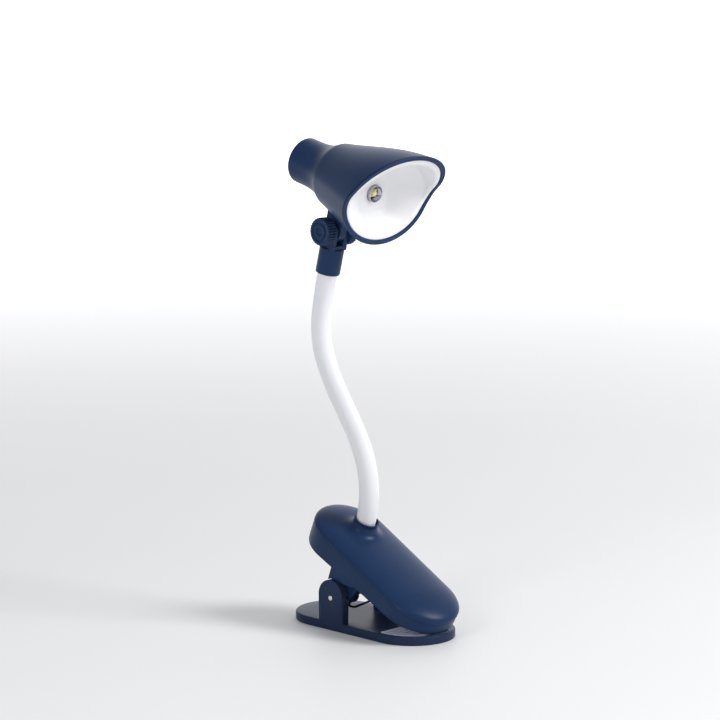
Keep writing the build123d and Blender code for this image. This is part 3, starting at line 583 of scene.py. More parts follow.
def build_plate():
    plate = plate_blank()
    ears = []
    for side in (-1, 1):
        outer = side * PLATE_WIDTH / 2
        inner = side * (PLATE_WIDTH / 2 - EAR_THICKNESS)
        ears.append(slab("ear", ear_outline(), min(outer, inner), max(outer, inner), WORLD, 0.6))
    combine(plate, ears, "UNION")
    length, width = PLATE_LENGTH - 2 * PAD_INSET, PLATE_WIDTH - 2 * PAD_INSET
    outline = pad_outline(length, width, PAD_START, PAD_END, 0, 0)
    pocket = plan_block("pocket", outline, PAD_FLOOR, PLATE_THICKNESS + 2)
    hinge = Matrix.Translation((HINGE.x, 0, HINGE.z))
    bores = [rod("bore", PIN_BORE, y - 4, y + 4, hinge, "Y", 48) for y in (-21, 21)]
    combine(plate, [pocket] + bores, "DIFFERENCE")
    plate.name = "clip_plate"
    return dress(plate, "base", "base_plate")


def build_pin():
    half = PLATE_WIDTH / 2 + 0.2
    end = [(half - 0.5, PIN_RADIUS)]
    end += [(half - 0.5 + 0.5 * sin(t), PIN_RADIUS - 0.5 + 0.5 * cos(t)) for t in (0.4, 0.8, 1.2, 1.57)]
    profile = [(-half, 0)] + [(-y, r) for y, r in reversed(end)] + end + [(half, 0)]
    pin = lathe("clip_pin", profile, Matrix.Translation((HINGE.x, 0, HINGE.z)), "Y", 48)
    return dress(pin, "base", "hinge_pin")


COIL_RADIUS, WIRE, COIL_TURNS, COIL_Y, HOOK_X, COIL_PITCH = 4.2, 0.6, 5, -12.3, 19.0, 1.25


def build_spring():
    """The clip's coil spring, its front leg reaching up into the jaw's hook."""
    bottom = HINGE.z - COIL_RADIUS
    last = COIL_Y + COIL_TURNS * COIL_PITCH
    foot = JAW @ Vector((HOOK_X, COIL_Y, JAW_RISE - 3.5))
    tip = JAW @ Vector((HOOK_X, COIL_Y, JAW_RISE + 2.6))
    knee = Vector((HINGE.x + 6.5, COIL_Y, bottom - 1.8))
    front = rounded_path([tip, foot, knee, (HINGE.x, COIL_Y, bottom)], 3.5)
    coil = []
    for k in range(COIL_TURNS * 40 + 1):
        turn = 2 * pi * k / 40
        x, z = HINGE.x - COIL_RADIUS * sin(turn), HINGE.z - COIL_RADIUS * cos(turn)
        coil.append(Vector((x, COIL_Y + COIL_PITCH * turn / (2 * pi), z)))
    rest = PLATE_THICKNESS + WIRE + 0.15
    rear = rounded_path([(HINGE.x, last, bottom), (-24.0, last, rest), (-34.0, last, rest)], 3.0)
    spring = tube("clip_spring", front[:-1] + coil + rear[1:], WIRE, 24)
    start = Vector((HINGE.x + 3, 0, bottom))
    dress_bent(spring, "spring_steel", ("base", "jaw"), start, foot, "torsion_spring")


# ---- clip: jaw side --------------------------------------------------
def parting_height(x):
    """Height of the sloping parting line in the jaw's frame, with x from the hinge axis."""
    return PARTING - tan(radians(COVER_TILT)) * (x - JAW_MIDDLE)


def tray_ring(share, extra):
    """A ring of the tray's wall, at a share of its height, inset by the draft and extra."""
    inset = DRAFT * (1 - share * 0.75) + extra
    ring = []
    for x, y in pill_plan(JAW_LENGTH - 2 * inset, JAW_WIDTH - 2 * inset):
        top = parting_height(x + JAW_MIDDLE)
        ring.append((x + JAW_MIDDLE, y, JAW_RISE + share * (top - JAW_RISE)))
    return ring


def shifted(ring, lift):
    return [(x, y, z + lift) for x, y, z in ring]


def tray_blank():
    rings = [tray_ring(0, 12.0)]
    for inward, lift in arc((1.2, 1.2), 1.2, 270, 180, 6):
        rings.append(shifted(tray_ring(0, inward), lift))
    for share in (0.3, 0.5, 0.7, 0.9):
        rings.append(tray_ring(share, 0))
    for inward, lift in arc((0.25, -0.25), 0.25, 180, 90, 4):
        rings.append(shifted(tray_ring(1, inward), lift))
    rings.append(tray_ring(1, WALL + 0.5))
    rings.append(shifted(tray_ring(0, WALL + DRAFT), WALL))
    rings.append(shifted(tray_ring(0, 14.0), WALL))
    return skin("jaw_tray", rings, JAW, ends=(True, True))


def ear_strap():
    """Outline of one of the jaw's hinge ears."""
    top = JAW_RISE + 0.8
    return [(-8.3, top)] + arc((0, 0), 7.57, 195.3, 316.6, 30) + [(12.0, top)]


def skirt_outline():
    """Outline of the skirt that reaches down over the plate's ear."""
    top = JAW_RISE + 0.8
    clear = EAR_CENTRE_Z - HINGE.z + EAR_RADIUS + 0.35
    return [(-8.3, top)] + arc((0, 0), clear, 137.8, 84.7, 16) + [(10.5, top - 1.2), (11.0, top)]


SCREW_SPOTS = [(27.0, 15.8), (27.0, -15.8), (-20.0, 15.8), (-20.0, -15.8)]


def build_tray():
    tray = tray_blank()
    extras = []
    for side in (-1, 1):
        low, high = sorted(side * y for y in JAW_EAR)
        extras.append(slab("ear", ear_strap(), low, high, JAW, 0.35))
        low, high = sorted(side * y for y in SKIRT)
        extras.append(slab("skirt", skirt_outline(), low, high, JAW, 0.35))
    combine(tray, extras, "UNION")
    cutters = []
    for x, y in SCREW_SPOTS:
        well = [(JAW_RISE - 2, 0), (JAW_RISE - 2, 2.55), (JAW_RISE, 2.55)]
        well += [(JAW_RISE + 0.25, 2.3), (JAW_RISE + 2.3, 2.3), (JAW_RISE + 2.3, 0)]
        cutters.append(lathe("well", well, JAW @ Matrix.Translation((x, y, 0)), "Z", 40))
    hook = JAW @ Matrix.Translation((HOOK_X, COIL_Y, 0))
    cutters.append(rod("hook_hole", 1.1, JAW_RISE - 2, JAW_RISE + 4, hook, "Z", 32))
    half, rise = (INLET_WIDTH - INLET_HEIGHT) / 2, JAW_RISE + INLET_RISE + INLET_HEIGHT / 2
    end = INLET_HEIGHT / 2 + 0.25
    slot = [(y + half, z) for y, z in arc((0, 0), end, -90, 90, 12)]
    slot += [(y - half, z) for y, z in arc((0, 0), end, 90, 270, 12)]
    turned = JAW @ Matrix.Translation((-40, 0, rise)) @ Matrix.Rotation(radians(90), 4, "Z")
    cutters.append(slab("inlet", slot, -3, 8, turned, 0))
    length, width = JAW_LENGTH - 2 * UPPER_PAD_INSET, JAW_WIDTH - 2 * UPPER_PAD_INSET
    outline = pad_outline(length, width, UPPER_PAD_START, UPPER_PAD_END, JAW_MIDDLE, 0)
    cutters.append(plan_block("pocket", outline, JAW_RISE - 2, JAW_RISE + 0.9, JAW))
    combine(tray, cutters, "DIFFERENCE")
    return dress(tray, "jaw", "jaw_body")


def dome_height(x, y):
    """Height of the cover's dome over its own base plane."""
    half = JAW_WIDTH / 2
    reach = (JAW_LENGTH - JAW_WIDTH) / 2
    off = hypot(max(abs(x) - reach, 0.0), y)
    share = min(1.0, off / half)
    return COVER_SKIRT + (COVER_HEIGHT - COVER_SKIRT) * sqrt(1 - share * share)


def cover_outline(count=256):
    """Where rays from the collar's axis meet the cover's outline, in the cover's frame."""
    middle = collar_point(0.0, 0.0, MOUTH)
    half = JAW_WIDTH / 2
    reach = (JAW_LENGTH - JAW_WIDTH) / 2
    hits = []
    for k in range(count):
        cx, cy = cos(2 * pi * k / count), sin(2 * pi * k / count)
        far = furthest(lambda d: hypot(max(abs(middle.x + d * cx) - reach, 0.0), d * cy) < half, 0.0, 120.0)
        hits.append((cx, cy, far))
    return middle, hits


INTO_COVER = COVER.inverted() @ JAW


def collar_point(turn, radius, height):
    """A point on a ring round the collar's axis, in the cover's frame."""
    return INTO_COVER @ Vector((COLLAR_X + radius * cos(turn), radius * sin(turn), height))


def bezier(a, b, c, d, t):
    return a * (1 - t) ** 3 + b * 3 * t * (1 - t) ** 2 + c * 3 * t * t * (1 - t) + d * t ** 3


def build_cover():
    """Domed cover that flows up into the neck's collar."""
    middle, hits = cover_outline()
    rings = []
    for inward, lift in [(2.0, 0.0)] + arc((0.3, 0.3), 0.3, 270, 180, 5) + [(0.0, 0.9)]:
        rings.append([(middle.x + cx * (far - inward), cy * (far - inward), lift) for cx, cy, far in hits])
    rows = 46
    for row in range(rows + 1):
        share = (row / rows) ** 2
        ring = []
        for cx, cy, far in hits:
            run = far + (COLLAR_FLARE - far) * share
            x, y = middle.x + cx * run, cy * run
            ring.append((x, y, dome_height(x, y)))
        rings.append(ring)
    throat = COLLAR_RADIUS - 0.35
    steps = 16
    for step in range(1, steps + 1):
        ring = []
        for k, (cx, cy, far) in enumerate(hits):
            foot = Vector((middle.x + cx * COLLAR_FLARE, cy * COLLAR_FLARE, 0))
            foot.z = dome_height(foot.x, foot.y)
            nearer = Vector((middle.x + cx * (COLLAR_FLARE - 3.6), cy * (COLLAR_FLARE - 3.6), 0))
            nearer.z = dome_height(nearer.x, nearer.y) + 0.15
            turn = 2 * pi * k / len(hits)
            neck = collar_point(turn, throat, MOUTH - 1.6)
            under = collar_point(turn, throat, MOUTH - 4.6)
            ring.append(tuple(bezier(foot, nearer, under, neck, step / steps)))
        rings.append(ring)
    lip = [(throat, MOUTH - 1.2)] + arc((COLLAR_RADIUS - 0.4, MOUTH - 0.45), 0.45, -60, 120, 8)
    lip += [(COLLAR_BORE + 0.1, MOUTH - 0.35), (COLLAR_BORE, MOUTH - 0.7), (COLLAR_BORE, MOUTH - 8)]
    for radius, height in lip:
        turns = [2 * pi * k / len(hits) for k in range(len(hits))]
        rings.append([tuple(collar_point(turn, radius, height)) for turn in turns])
    cover = skin("clip_cover", rings, COVER, 40)
    return dress(cover, "jaw", "top_cover")


def build_pads():
    size = (PLATE_LENGTH, PLATE_WIDTH, PAD_START, PAD_END, 0)
    low = ribbed_pad("plate_grip", PAD_INSET, *size, PAD_FLOOR, PAD_TOP, WORLD, 5)
    dress(low, "base", "lower_pad")
    size = (JAW_LENGTH, JAW_WIDTH, UPPER_PAD_START, UPPER_PAD_END, JAW_MIDDLE)
    high = ribbed_pad("jaw_grip", UPPER_PAD_INSET, *size, JAW_RISE - 0.6, JAW_RISE + 0.9, JAW, 5, -1)
    dress(high, "jaw", "upper_pad")


# ---- neck ------------------------------------------------------------
def neck_station(distance):
    """Point and forward lean of the neck's centre line, at a distance from its root."""
    root = JAW @ Vector((COLLAR_X, 0, MOUTH - NECK_ROOT_DEPTH))
    x, z, lean, left = root.x, root.z, radians(JAW_TILT), distance
    for length, turn in NECK_ARCS:
        if left <= 0:
            break
        step = min(left, length)
        bend = radians(turn) / length
        x += (cos(lean) - cos(lean + bend * step)) / bend
        z += (sin(lean + bend * step) - sin(lean)) / bend
        lean += bend * step
        left -= step
    return Vector((x + left * sin(lean), 0, z + left * cos(lean))), lean


NECK_LENGTH = sum(length for length, turn in NECK_ARCS)
STATION_STEP = 0.8


def neck_ring(distance, radius, sides, side):
    centre, lean = neck_station(distance)
    across = Vector((cos(lean), 0, -sin(lean)))
    turns = [2 * pi * k / sides for k in range(sides)]
    return [centre + across * radius * cos(t) + Vector((0, side + radius * sin(t), 0)) for t in turns]


def neck_rings(start, end, radius_at, sides, step=STATION_STEP, side=0.0):
    count = max(2, round((end - start) / step))
    places = [start + (end - start) * k / count for k in range(count + 1)]
    return [neck_ring(d, radius_at(d), sides, side) for d in places]


def neck_spans():
    """Where each neck piece starts and ends: in the middle of the stiff stretches."""
    middles = [(a + b) / 2 for a, b in zip(NECK_BENDS, NECK_BENDS[1:])]
    cuts = [-NECK_TAIL] + middles + [NECK_LENGTH + NECK_TIP]
    return list(zip(cuts, cuts[1:]))


def wound(distance):
    """Radius of the wound core, which has a ridge each turn."""
    return CORE_RADIUS - 0.14 + 0.14 * cos(2 * pi * distance / 1.6)


CHAIN = ["jaw", "neck_foot", "neck_middle", "neck_top", "socket"]


def bend_piece(piece, index, slot_name, nodes):
    """A stretch of the neck around one joint."""
    before, _ = neck_station(NECK_BENDS[index] - BEND_SPAN / 2)
    after, _ = neck_station(NECK_BENDS[index] + BEND_SPAN / 2)
    dress_bent(piece, slot_name, CHAIN[index:index + 2], before, after, *nodes)


def build_neck():
    for index, (start, end) in enumerate(neck_spans()):
        number = index + 1
        extra = [number + 1] if number == len(NECK_BENDS) else []
        covered = [number] + extra
        sleeve = skin(f"sleeve_{number}", neck_rings(start, end, lambda d: SLEEVE_RADIUS, 64))
        replaced = [f"neck_sleeve_{n}" for n in covered] + [f"neck_bend_{number}"]
        bend_piece(sleeve, index, "white_silicone", replaced)
        core = skin(f"wound_core_{number}", neck_rings(start, end, wound, 24, 0.2))
        bend_piece(core, index, "core_steel", [f"gooseneck_{n}" for n in covered])
        for side in (-1, 1):
            rings = neck_rings(start, end, lambda d: WIRE_RADIUS, 12, 2.0, side * WIRE_OFFSET)
            wire = skin(f"wire_{number}_{'right' if side < 0 else 'left'}", rings)
            bend_piece(wire, index, "wire_red", [f"lamp_wires_{n}" for n in covered])


# ---- socket and tilt joint -------------------------------------------
SOCKET_POINT, SOCKET_LEAN = neck_station(NECK_LENGTH)
SOCKET = placed(SOCKET_POINT, degrees(SOCKET_LEAN))
KNOB = Matrix.Translation(PIVOT)


def rounded_box(outline, corner, steps=5):
    """A convex outline, given anticlockwise, with every corner rounded."""
    rounded = []
    count = len(outline)
    for k in range(count):
        before, here, after = (Vector(outline[(k + d) % count]) for d in (-1, 0, 1))
        start = here + (before - here).normalized() * corner
        end = here + (after - here).normalized() * corner
        rounded += [tuple(point) for point in round_off(start, here, end, steps)]
    return rounded


def build_socket():
    bore = SLEEVE_RADIUS + 0.06
    profile = [(NECK_TIP + 0.1, 0), (NECK_TIP + 0.1, bore), (0.5, bore), (0.0, bore + 0.25)]
    profile += [(z, r) for r, z in arc((SOCKET_RADIUS - 0.5, 0.5), 0.5, -90, 0, 5)]
    profile += [(z, r) for r, z in arc((SOCKET_RADIUS - 0.5, SOCKET_LENGTH - 0.5), 0.5, 0, 90, 5)]
    profile += [(SOCKET_LENGTH, 0)]
    cup = lathe("neck_cup", profile, SOCKET, "Z", 96)
    half = FORK_WIDTH / 2
    base_top = SOCKET_LENGTH + FORK_BASE
    step = rounded_box([(-half, -half), (half, -half), (half, half), (-half, half)], 0.5)
    base = plan_block("fork_base", step, SOCKET_LENGTH - 0.4, base_top, SOCKET, 0.3)
    arm = half - 0.3
    cheek = [(arm, base_top - 0.5)] + arc((0, PIVOT_RISE), arm, 0, 180, 32) + [(-arm, base_top - 0.5)]
    cheeks = []
    gap = LUG_THICKNESS / 2 + 0.15
    for side in (-1, 1):
        low, high = sorted((side * gap, side * half))
        cheeks.append(slab("cheek", cheek, low, high, SOCKET, 0.35))
    combine(cup, [base] + cheeks, "UNION")
    combine(cup, [rod("hole", 2.1, -20, 20, KNOB, "Y", 40)], "DIFFERENCE")
    return dress(cup, "socket", "neck_socket")


def ribbed_ring(radius, y, depth, sides):
    """A knob's ring with finger ribs cut into it."""
    ring = []
    for k in range(sides):
        turn = 2 * pi * k / sides
        wave = 0.5 - 0.5 * cos(turn * RIBS)
        here = radius - depth * wave ** 1.4
        ring.append((here * cos(turn), y, here * sin(turn)))
    return ring


def knob_rings(radius, face, back, rings_in_face):
    """A ribbed knob from the middle of its outer face to the middle of its back."""
    sides = RIBS * 12
    out = -1 if face < back else 1
    rings = [ribbed_ring(r, y, 0, sides) for y, r in rings_in_face]
    bevel = arc((radius - KNOB_EDGE, face - out * KNOB_EDGE), KNOB_EDGE, 90 * out, 0, 8)
    for step, (r, y) in enumerate(bevel):
        rings.append(ribbed_ring(r, y, RIB_DEPTH * step / 8, sides))
    for run in (1.6, 1.0, 0.6):
        rings.append(ribbed_ring(radius, back + out * run, RIB_DEPTH, sides))
    for run, inset in [(0.4, 0.1), (0.1, 0.35), (0.0, 0.6)]:
        rings.append(ribbed_ring(radius - inset, back + out * run, RIB_DEPTH * run, sides))
    rings.append(ribbed_ring(0.001, back, 0, sides))
    return rings


def build_knobs():
    face = -KNOB_FACE
    dish = [(face + 0.7, 0.001), (face + 0.7, 2.25), (face + 0.6, 2.36), (face + 0.1, 2.42), (face, 2.6)]
    dish += [(face, 3.65), (face + 0.1, 3.85), (face + 0.6, 3.92), (face + 0.7, 4.05)]
    dish += [(face + 0.7, 5.25), (face + 0.6, 5.4), (face + 0.1, 5.5), (face, 5.65)]
    knob = skin("knob_cap", knob_rings(KNOB_RADIUS, face, -KNOB_BACK, dish), KNOB, 50)
    dress(knob, "knob", "thumb_knob")
    cap = [(NUT_FACE, 0.001), (NUT_FACE, 3.0), (NUT_FACE, 5.8)]
    nut = skin("nut_cap", knob_rings(NUT_RADIUS, NUT_FACE, FORK_WIDTH / 2, cap), KNOB, 50)
    dress(nut, "socket", "nut_knob")


def build_lug():
    half = LUG_THICKNESS / 2
    left, right = LUG_LEFT, PIVOT_U + LUG_RADIUS
    bottom = arc((PIVOT_U, PIVOT_W), LUG_RADIUS, 180, 360, 32)
    top = [(right, shade_floor(right)), (right / 2, shade_floor(right / 2)), (0.25, shade_floor(0.25))]
    top += [(0.2, -SEAM_RADIUS - 0.15), (left, -SEAM_RADIUS - 0.15)]
    lug = slab("head_lug", bottom + top, -half, half, HEAD, 0.35)
    return dress(lug, "head", "tilt_lug")


# ---- head ------------------------------------------------------------
def through(table, u):
    """Values at u on the smooth curves through a table's rows, whose first column is u."""
    values = []
    for column in range(1, len(table[0])):
        total = 0.0
        for row in table:
            weight = 1.0
            for other in table:
                if other is not row:
                    weight *= (u - other[0]) / (row[0] - other[0])
            total += weight * row[column]
        values.append(total)
    return values


def shade_point(u, turn, inset=0.0):
    wide, high, drop = through(SHADE_SECTIONS, u)
    return Vector((u, (wide - inset) * cos(turn), (high - inset) * sin(turn) - drop))


def shade_floor(u):
    """Height of the shade's lowest line, a little inside its surface."""
    return shade_point(u, -pi / 2).z + 0.3


def hermite(t, run, begin, begin_slope, end, end_slope):
    """A smooth curve's value at share t of a run, from the values and slopes at its two ends."""
    a, b = 2 * t ** 3 - 3 * t * t + 1, t ** 3 - 2 * t * t + t
    return a * begin + b * run * begin_slope + (1 - a) * end + (t ** 3 - t * t) * run * end_slope


def mouth_u(w):
    """How far forward the mouth is at a height: upright below, then sweeping forward."""
    if w <= MOUTH_LINE[0][0]:
        return MOUTH_LINE[0][1]
    for (w0, u0, s0), (w1, u1, s1) in zip(MOUTH_LINE, MOUTH_LINE[1:]):
        if w <= w1 or w1 == MOUTH_LINE[-1][0]:
            return hermite((w - w0) / (w1 - w0), w1 - w0, u0, s0, u1, s1)
    return MOUTH_LINE[-1][1]


def mouth_at(turn, inset, point=shade_point):
    """How far along the head the mouth's surface meets a line of the shade or bowl."""
    return furthest(lambda u: u < mouth_u(point(u, turn, inset).z), 20.0, 62.0)


AROUND = 224
TURNS = [2 * pi * (k + 0.5) / AROUND for k in range(AROUND)]


def mouth_ring(inset, forward):
    return [shade_point(mouth_at(t, inset) + forward, t, inset) for t in TURNS]


def build_shade():
    outer_ends = [mouth_at(t, 0.0) - 2.0 for t in TURNS]
    inner_ends = [mouth_at(t, SHADE_WALL) - 0.4 for t in TURNS]
    seam = [(0, 1.0), (0, 0.3), (0.09, 0.09), (0.3, 0.0)]
    rings = [[shade_point(u, t, inset) for t in TURNS] for u, inset in seam]
    rows = 52
    for row in range(1, rows + 1):
        rings.append([shade_point(0.3 + (end - 0.3) * row / rows, t) for t, end in zip(TURNS, outer_ends)])
    lip = [(0.0, -1.8), (0.03, -1.7), (0.38, -1.5), (0.38, -1.2), (0.0, -1.0), (-0.18, -0.85), (-0.2, -0.5)]
    lip += [(-0.06, -0.2), (0.2, -0.03), (0.45, 0.0), (0.95, 0.0)]
    lip += [(1.05, -0.06), (1.12, -0.2), (1.24, -0.2), (1.3, -0.06)]
    lip += [(1.4, 0.0), (1.95, 0.0), (2.2, -0.08), (SHADE_WALL, -0.28)]
    for inset, forward in lip:
        rings.append(mouth_ring(inset, forward))
    for row in range(20):
        left = 1 - row / 19
        rings.append([shade_point(end * left, t, SHADE_WALL) for t, end in zip(TURNS, inner_ends)])
    return dress(skin("lamp_shade", rings, HEAD, 32, loop=True), "head", "shade")


def rounded_square(turn, shrink):
    """A point on the bowl's squarish back outline, in a direction."""
    half_y, half_z = BOWL_WIDTH / 2 - shrink, BOWL_HEIGHT / 2 - shrink
    corner = BOWL_CORNER - shrink
    c, s = cos(turn), sin(turn)

    def inside(r):
        return hypot(max(abs(r * c) - half_y + corner, 0), max(abs(r * s) - half_z + corner, 0)) < corner

    far = furthest(inside, 0.0, 30.0, 30)
    return far * c, far * s - LED_DROP


def bowl_section(row, turn, inset):
    u, wide, high, drop = row
    return Vector((u, (wide - inset) * cos(turn), (high - inset) * sin(turn) - drop))


def bowl_point(u, turn, inset=SHADE_WALL + BAND):
    """A point on the bowl's side wall."""
    front = bowl_section(BOWL_SECTIONS[0], turn, inset)
    if u >= front.x:
        end = bowl_section(BOWL_SECTIONS[1], turn, inset)
        return front.lerp(end, (u - front.x) / (end.x - front.x))
    y, w = rounded_square(turn, 0)
    return Vector((BOWL_BACK, y, w)).lerp(front, (u - BOWL_BACK) / (front.x - BOWL_BACK))


def build_liner():
    """White bowl with its flat edge band, as one open sheet."""
    edge = SHADE_WALL + 0.15
    inner = SHADE_WALL + BAND
    band = [(edge, -3.5), (edge, -0.75), (edge + 0.08, -0.57), (edge + 0.25, -RIM_LIP)]
    band += [(inner - 0.9, -RIM_LIP), (inner - 0.4, -RIM_LIP - 0.03)]
    rings = [mouth_ring(inset, forward) for inset, forward in band]
    ends = [mouth_at(t, inner, bowl_point) for t in TURNS]
    for drop, tuck in [(0.12, 0.2), (0.35, 0.06), (0.7, 0.0)]:
        rings.append([bowl_point(end - RIM_LIP - drop, t, inner - tuck) for t, end in zip(TURNS, ends)])
    rows, fillet = 34, 2.2
    for row in range(1, rows + 1):
        share = row / rows
        ring = []
        for t, end in zip(TURNS, ends):
            start = end - RIM_LIP - 0.7
            ring.append(bowl_point(start + (BOWL_BACK + fillet - start) * share, t))
        rings.append(ring)
    for y_share, lift in arc((1.0, 1.0), 1.0, 180, 270, 6)[1:]:
        ring = []
        for t in TURNS:
            wall = bowl_point(BOWL_BACK + fillet * lift, t)
            y, w = rounded_square(t, fillet * y_share * 0.8)
            foot = Vector((wall.x, y, w))
            ring.append((wall.x, y, w) if lift < 0.02 else tuple(wall.lerp(foot, y_share)))
        rings.append(ring)
    for share in (0.3, 0.6, 0.85, 0.97):
        ring = []
        for t in TURNS:
            y, w = rounded_square(t, fillet * 0.8)
            y_end, w_end = WINDOW_RADIUS * cos(t), WINDOW_RADIUS * sin(t) - LED_DROP
            ring.append((BOWL_BACK, y + (y_end - y) * share, w + (w_end - w) * share))
        rings.append(ring)
    for depth, more in [(0.08, 0.02), (0.3, -0.02), (1.3, -0.04)]:
        u, radius = BOWL_BACK - depth, WINDOW_RADIUS + more
        rings.append([(u, radius * cos(t), radius * sin(t) - LED_DROP) for t in TURNS])
    return dress(skin("bowl_liner", rings, HEAD, 60), "head", "reflector_liner")


def build_cap():
    end = -CAP_LENGTH
    hole = BUTTON_RADIUS + 0.25
    profile = [(end + 3.0, hole), (end + 1.1, hole), (end + 0.85, hole + 0.2)]
    profile += [(end + 0.8, hole + 0.9), (end + 0.7, hole + 1.1)]
    profile += [(end + 0.1, hole + 1.7), (end, hole + 1.95), (end, CAP_RADIUS - 1.1)]
    profile += [(u, r) for r, u in arc((CAP_RADIUS - 1.1, end + 1.1), 1.1, -90, 0, 8)]
    waist = [(end + 1.1, CAP_RADIUS, 0.0), (-15.5, CAP_RADIUS + 0.2, 0.07)]
    waist += [(-7.0, 14.2, 0.32), (-0.35, SEAM_RADIUS - 0.25, 0.56)]
    for (u0, r0, s0), (u1, r1, s1) in zip(waist, waist[1:]):
        for k in range(1, 11):
            t, run = k / 10, u1 - u0
            profile.append((u0 + run * t, hermite(t, run, r0, s0, r1, s1)))
    profile += [(-0.2, SEAM_RADIUS - 0.28), (-0.12, SEAM_RADIUS - 0.4), (-0.1, SEAM_RADIUS - 1.0)]
    spigot = SEAM_RADIUS - SHADE_WALL - 0.2
    profile += [(-0.1, spigot), (2.4, spigot), (2.4, spigot - 1.4), (-1.0, spigot - 1.4)]
    profile += [(-8.0, CAP_RADIUS - 1.2), (end + 3.0, CAP_RADIUS - 2.0)]
    return dress(lathe("head_cap", profile, HEAD, "X", 160, True), "head", "rear_cap")


def build_button():
    end = -CAP_LENGTH
    face = end - BUTTON_PROUD
    profile = [(face + 0.35, 0), (face + 0.33, 1.5), (face + 0.22, 2.8), (face + 0.03, 3.9), (face, 4.3)]
    profile += [(u, r) for r, u in arc((BUTTON_RADIUS - 0.8, face + 0.8), 0.8, -90, 0, 6)]
    flange = BUTTON_RADIUS + 1.0
    profile += [(end + 2.0, BUTTON_RADIUS), (end + 2.0, flange), (end + 2.8, flange), (end + 2.8, 0)]
    return dress(lathe("push_button", profile, HEAD, "X", 96), "button", "switch_button")


def build_led():
    """Bright cup standing out of the bowl's back wall, with the yellow chip on its pedestal inside."""
    front, rear = BOWL_BACK + CUP_PROUD, BOWL_BACK - 3.55
    rim = WINDOW_RADIUS - 0.1
    profile = [(rear, rim), (front - 0.3, rim)]
    profile += [(u, r) for r, u in arc((rim - 0.3, front - 0.3), 0.3, 0, 90, 4)]
    profile += [(front - 0.12, rim - 0.42)]
    for k in range(13):
        t = k / 12
        radius = rim - 0.42 - (rim - 0.42 - CUP_BORE) * t ** 1.5
        profile.append((front - 0.12 - (CUP_PROUD - 0.12) * t, radius))
    profile += [(rear, CUP_BORE)]
    cup = lathe("led_reflector", profile, LED, "X", 96, True)
    dress(cup, "head", "led_cup")
    seat = BOWL_BACK - 3.6 + EMITTER_RISE
    chip = rounded_box([(-2.0, -2.0), (2.0, -2.0), (2.0, 2.0), (-2.0, 2.0)], 0.3)
    turned = LED @ Matrix.Translation((seat, 0, 0)) @ Matrix.Rotation(radians(90), 4, "Y")
    base = plan_block("led_chip", chip, -EMITTER_RISE, 0, turned, 0.1)
    profile = [(seat - 0.1, 0), (seat - 0.1, 1.8)]
    profile += [(seat + r, h) for h, r in arc((0, 0), 1.8, 0, 90, 14)]
    dome = lathe("dome", profile, LED, "X", 64)
    combine(base, [dome], "UNION", 30)
    dress(base, "head", "led_emitter")


# ---- the lamp --------------------------------------------------------
build_plate()
build_pin()
build_pads()
build_spring()
build_tray()
build_cover()
build_neck()
build_socket()
build_knobs()
build_lug()
build_shade()
build_liner()
build_cap()
build_button()
build_led()
for node_name, node in frame["nodes"].items():
    paint(node, SLOT_OF[node_name])
    if not node.hide_render:
        smooth(node.data, 30)


# ---- floor, light and camera -----------------------------------------
# dim and bright strength, then how squarely a direction faces the glow where it starts and is full
WORLD_GLOW = (0.38, 1.5, 0.5, 0.95)
KEY_PLACE, KEY_POWER = (0.95, 0.55, 0.95), 13.5
FILL_PLACE, FILL_POWER = (0.25, -1.25, 0.75), 3.5
FADE_START, FADE_END, FADE_GLOW = 0.12, 2.6, 0.9     # metres, metres, strength


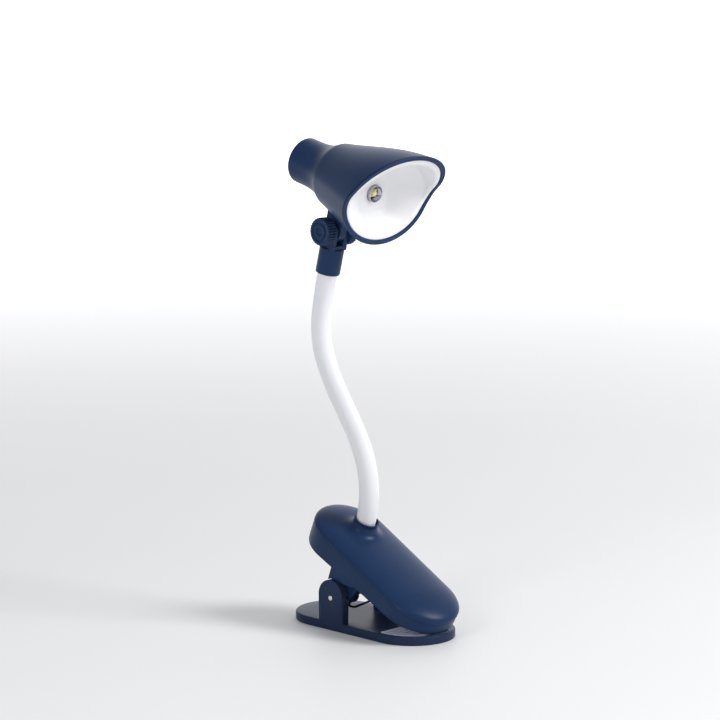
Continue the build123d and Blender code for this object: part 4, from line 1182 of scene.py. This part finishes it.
def pale_floor():
    """Pale floor that fades into a white surround far from the lamp."""
    material, nodes, shader = node_tree()
    material.name = "pale_floor"
    tone = noise(nodes, 3.0, 2.0)
    stops = [(0.3, (0.85, 0.85, 0.855)), (0.7, (0.87, 0.87, 0.87))]
    join(ramp(nodes, tone, stops), shader.inputs["Base Color"])
    shader.inputs["Roughness"].default_value = 0.6
    shape = nodes.new("ShaderNodeNewGeometry")
    far = nodes.new("ShaderNodeVectorMath")
    far.operation = "LENGTH"
    join(shape.outputs["Position"], far.inputs[0])
    fade = spread_to(nodes, far.outputs["Value"], 0.0, FADE_GLOW, FADE_START, FADE_END, "SMOOTHSTEP")
    shader.inputs["Emission Color"].default_value = (1.0, 1.0, 1.0, 1.0)
    join(fade, shader.inputs["Emission Strength"])
    mesh = bpy.data.meshes.new("floor")
    mesh.from_pydata([(-30, -30, 0), (30, -30, 0), (30, 30, 0), (-30, 30, 0)], [], [(0, 1, 2, 3)])
    mesh.materials.append(material)
    floor = put("floor", mesh)


def aim(holder, place, target):
    """Puts a light or camera somewhere, looking at a point."""
    holder.location = place
    holder.rotation_euler = (target - place).to_track_quat("-Z", "Y").to_euler()


def softbox(name, place, target, size, power):
    light = bpy.data.lights.new(name, "AREA")
    light.shape = "RECTANGLE"
    light.size, light.size_y = size
    light.energy = power
    aim(put(name, light), Vector(place), Vector(target))


def studio():
    """A white room that is brightest behind the lamp, and two softboxes."""
    world = bpy.data.worlds.new("studio")
    world.use_nodes = True
    nodes = world.node_tree.nodes
    where = nodes.new("ShaderNodeTexCoord")
    facing = nodes.new("ShaderNodeVectorMath")
    facing.operation = "DOT_PRODUCT"
    facing.inputs[1].default_value = Vector((-0.60, 0.80, 0.05)).normalized()
    join(where.outputs["Generated"], facing.inputs[0])
    glow = spread_to(nodes, facing.outputs["Value"], *WORLD_GLOW, "SMOOTHSTEP")
    background = nodes["Background"]
    background.inputs["Color"].default_value = (0.97, 0.975, 1.0, 1.0)
    join(glow, background.inputs["Strength"])
    bpy.context.scene.world = world
    centre = (0, 0, 0.13)
    softbox("key_box", KEY_PLACE, centre, (0.5, 0.5), KEY_POWER)
    softbox("fill_box", FILL_PLACE, centre, (0.45, 0.45), FILL_POWER)


CAMERA_DISTANCE, CAMERA_HEIGHT, CAMERA_TURN = 1.5, 0.37649, 45.0
AIM_HEIGHT, LENS, FRAME_SHIFT = 0.144148, 143.93, -0.0202


def camera():
    lens = bpy.data.cameras.new("camera")
    lens.lens = LENS
    lens.sensor_width = 36.0
    lens.shift_x = FRAME_SHIFT
    lens.clip_end = 200.0
    turn = radians(CAMERA_TURN)
    place = Vector((CAMERA_DISTANCE * sin(turn), -CAMERA_DISTANCE * cos(turn), CAMERA_HEIGHT))
    holder = put("camera", lens)
    aim(holder, place, Vector((0, 0, AIM_HEIGHT)))
    bpy.context.scene.camera = holder


pale_floor()
studio()
camera()
bpy.context.scene.view_settings.view_transform = "Standard"
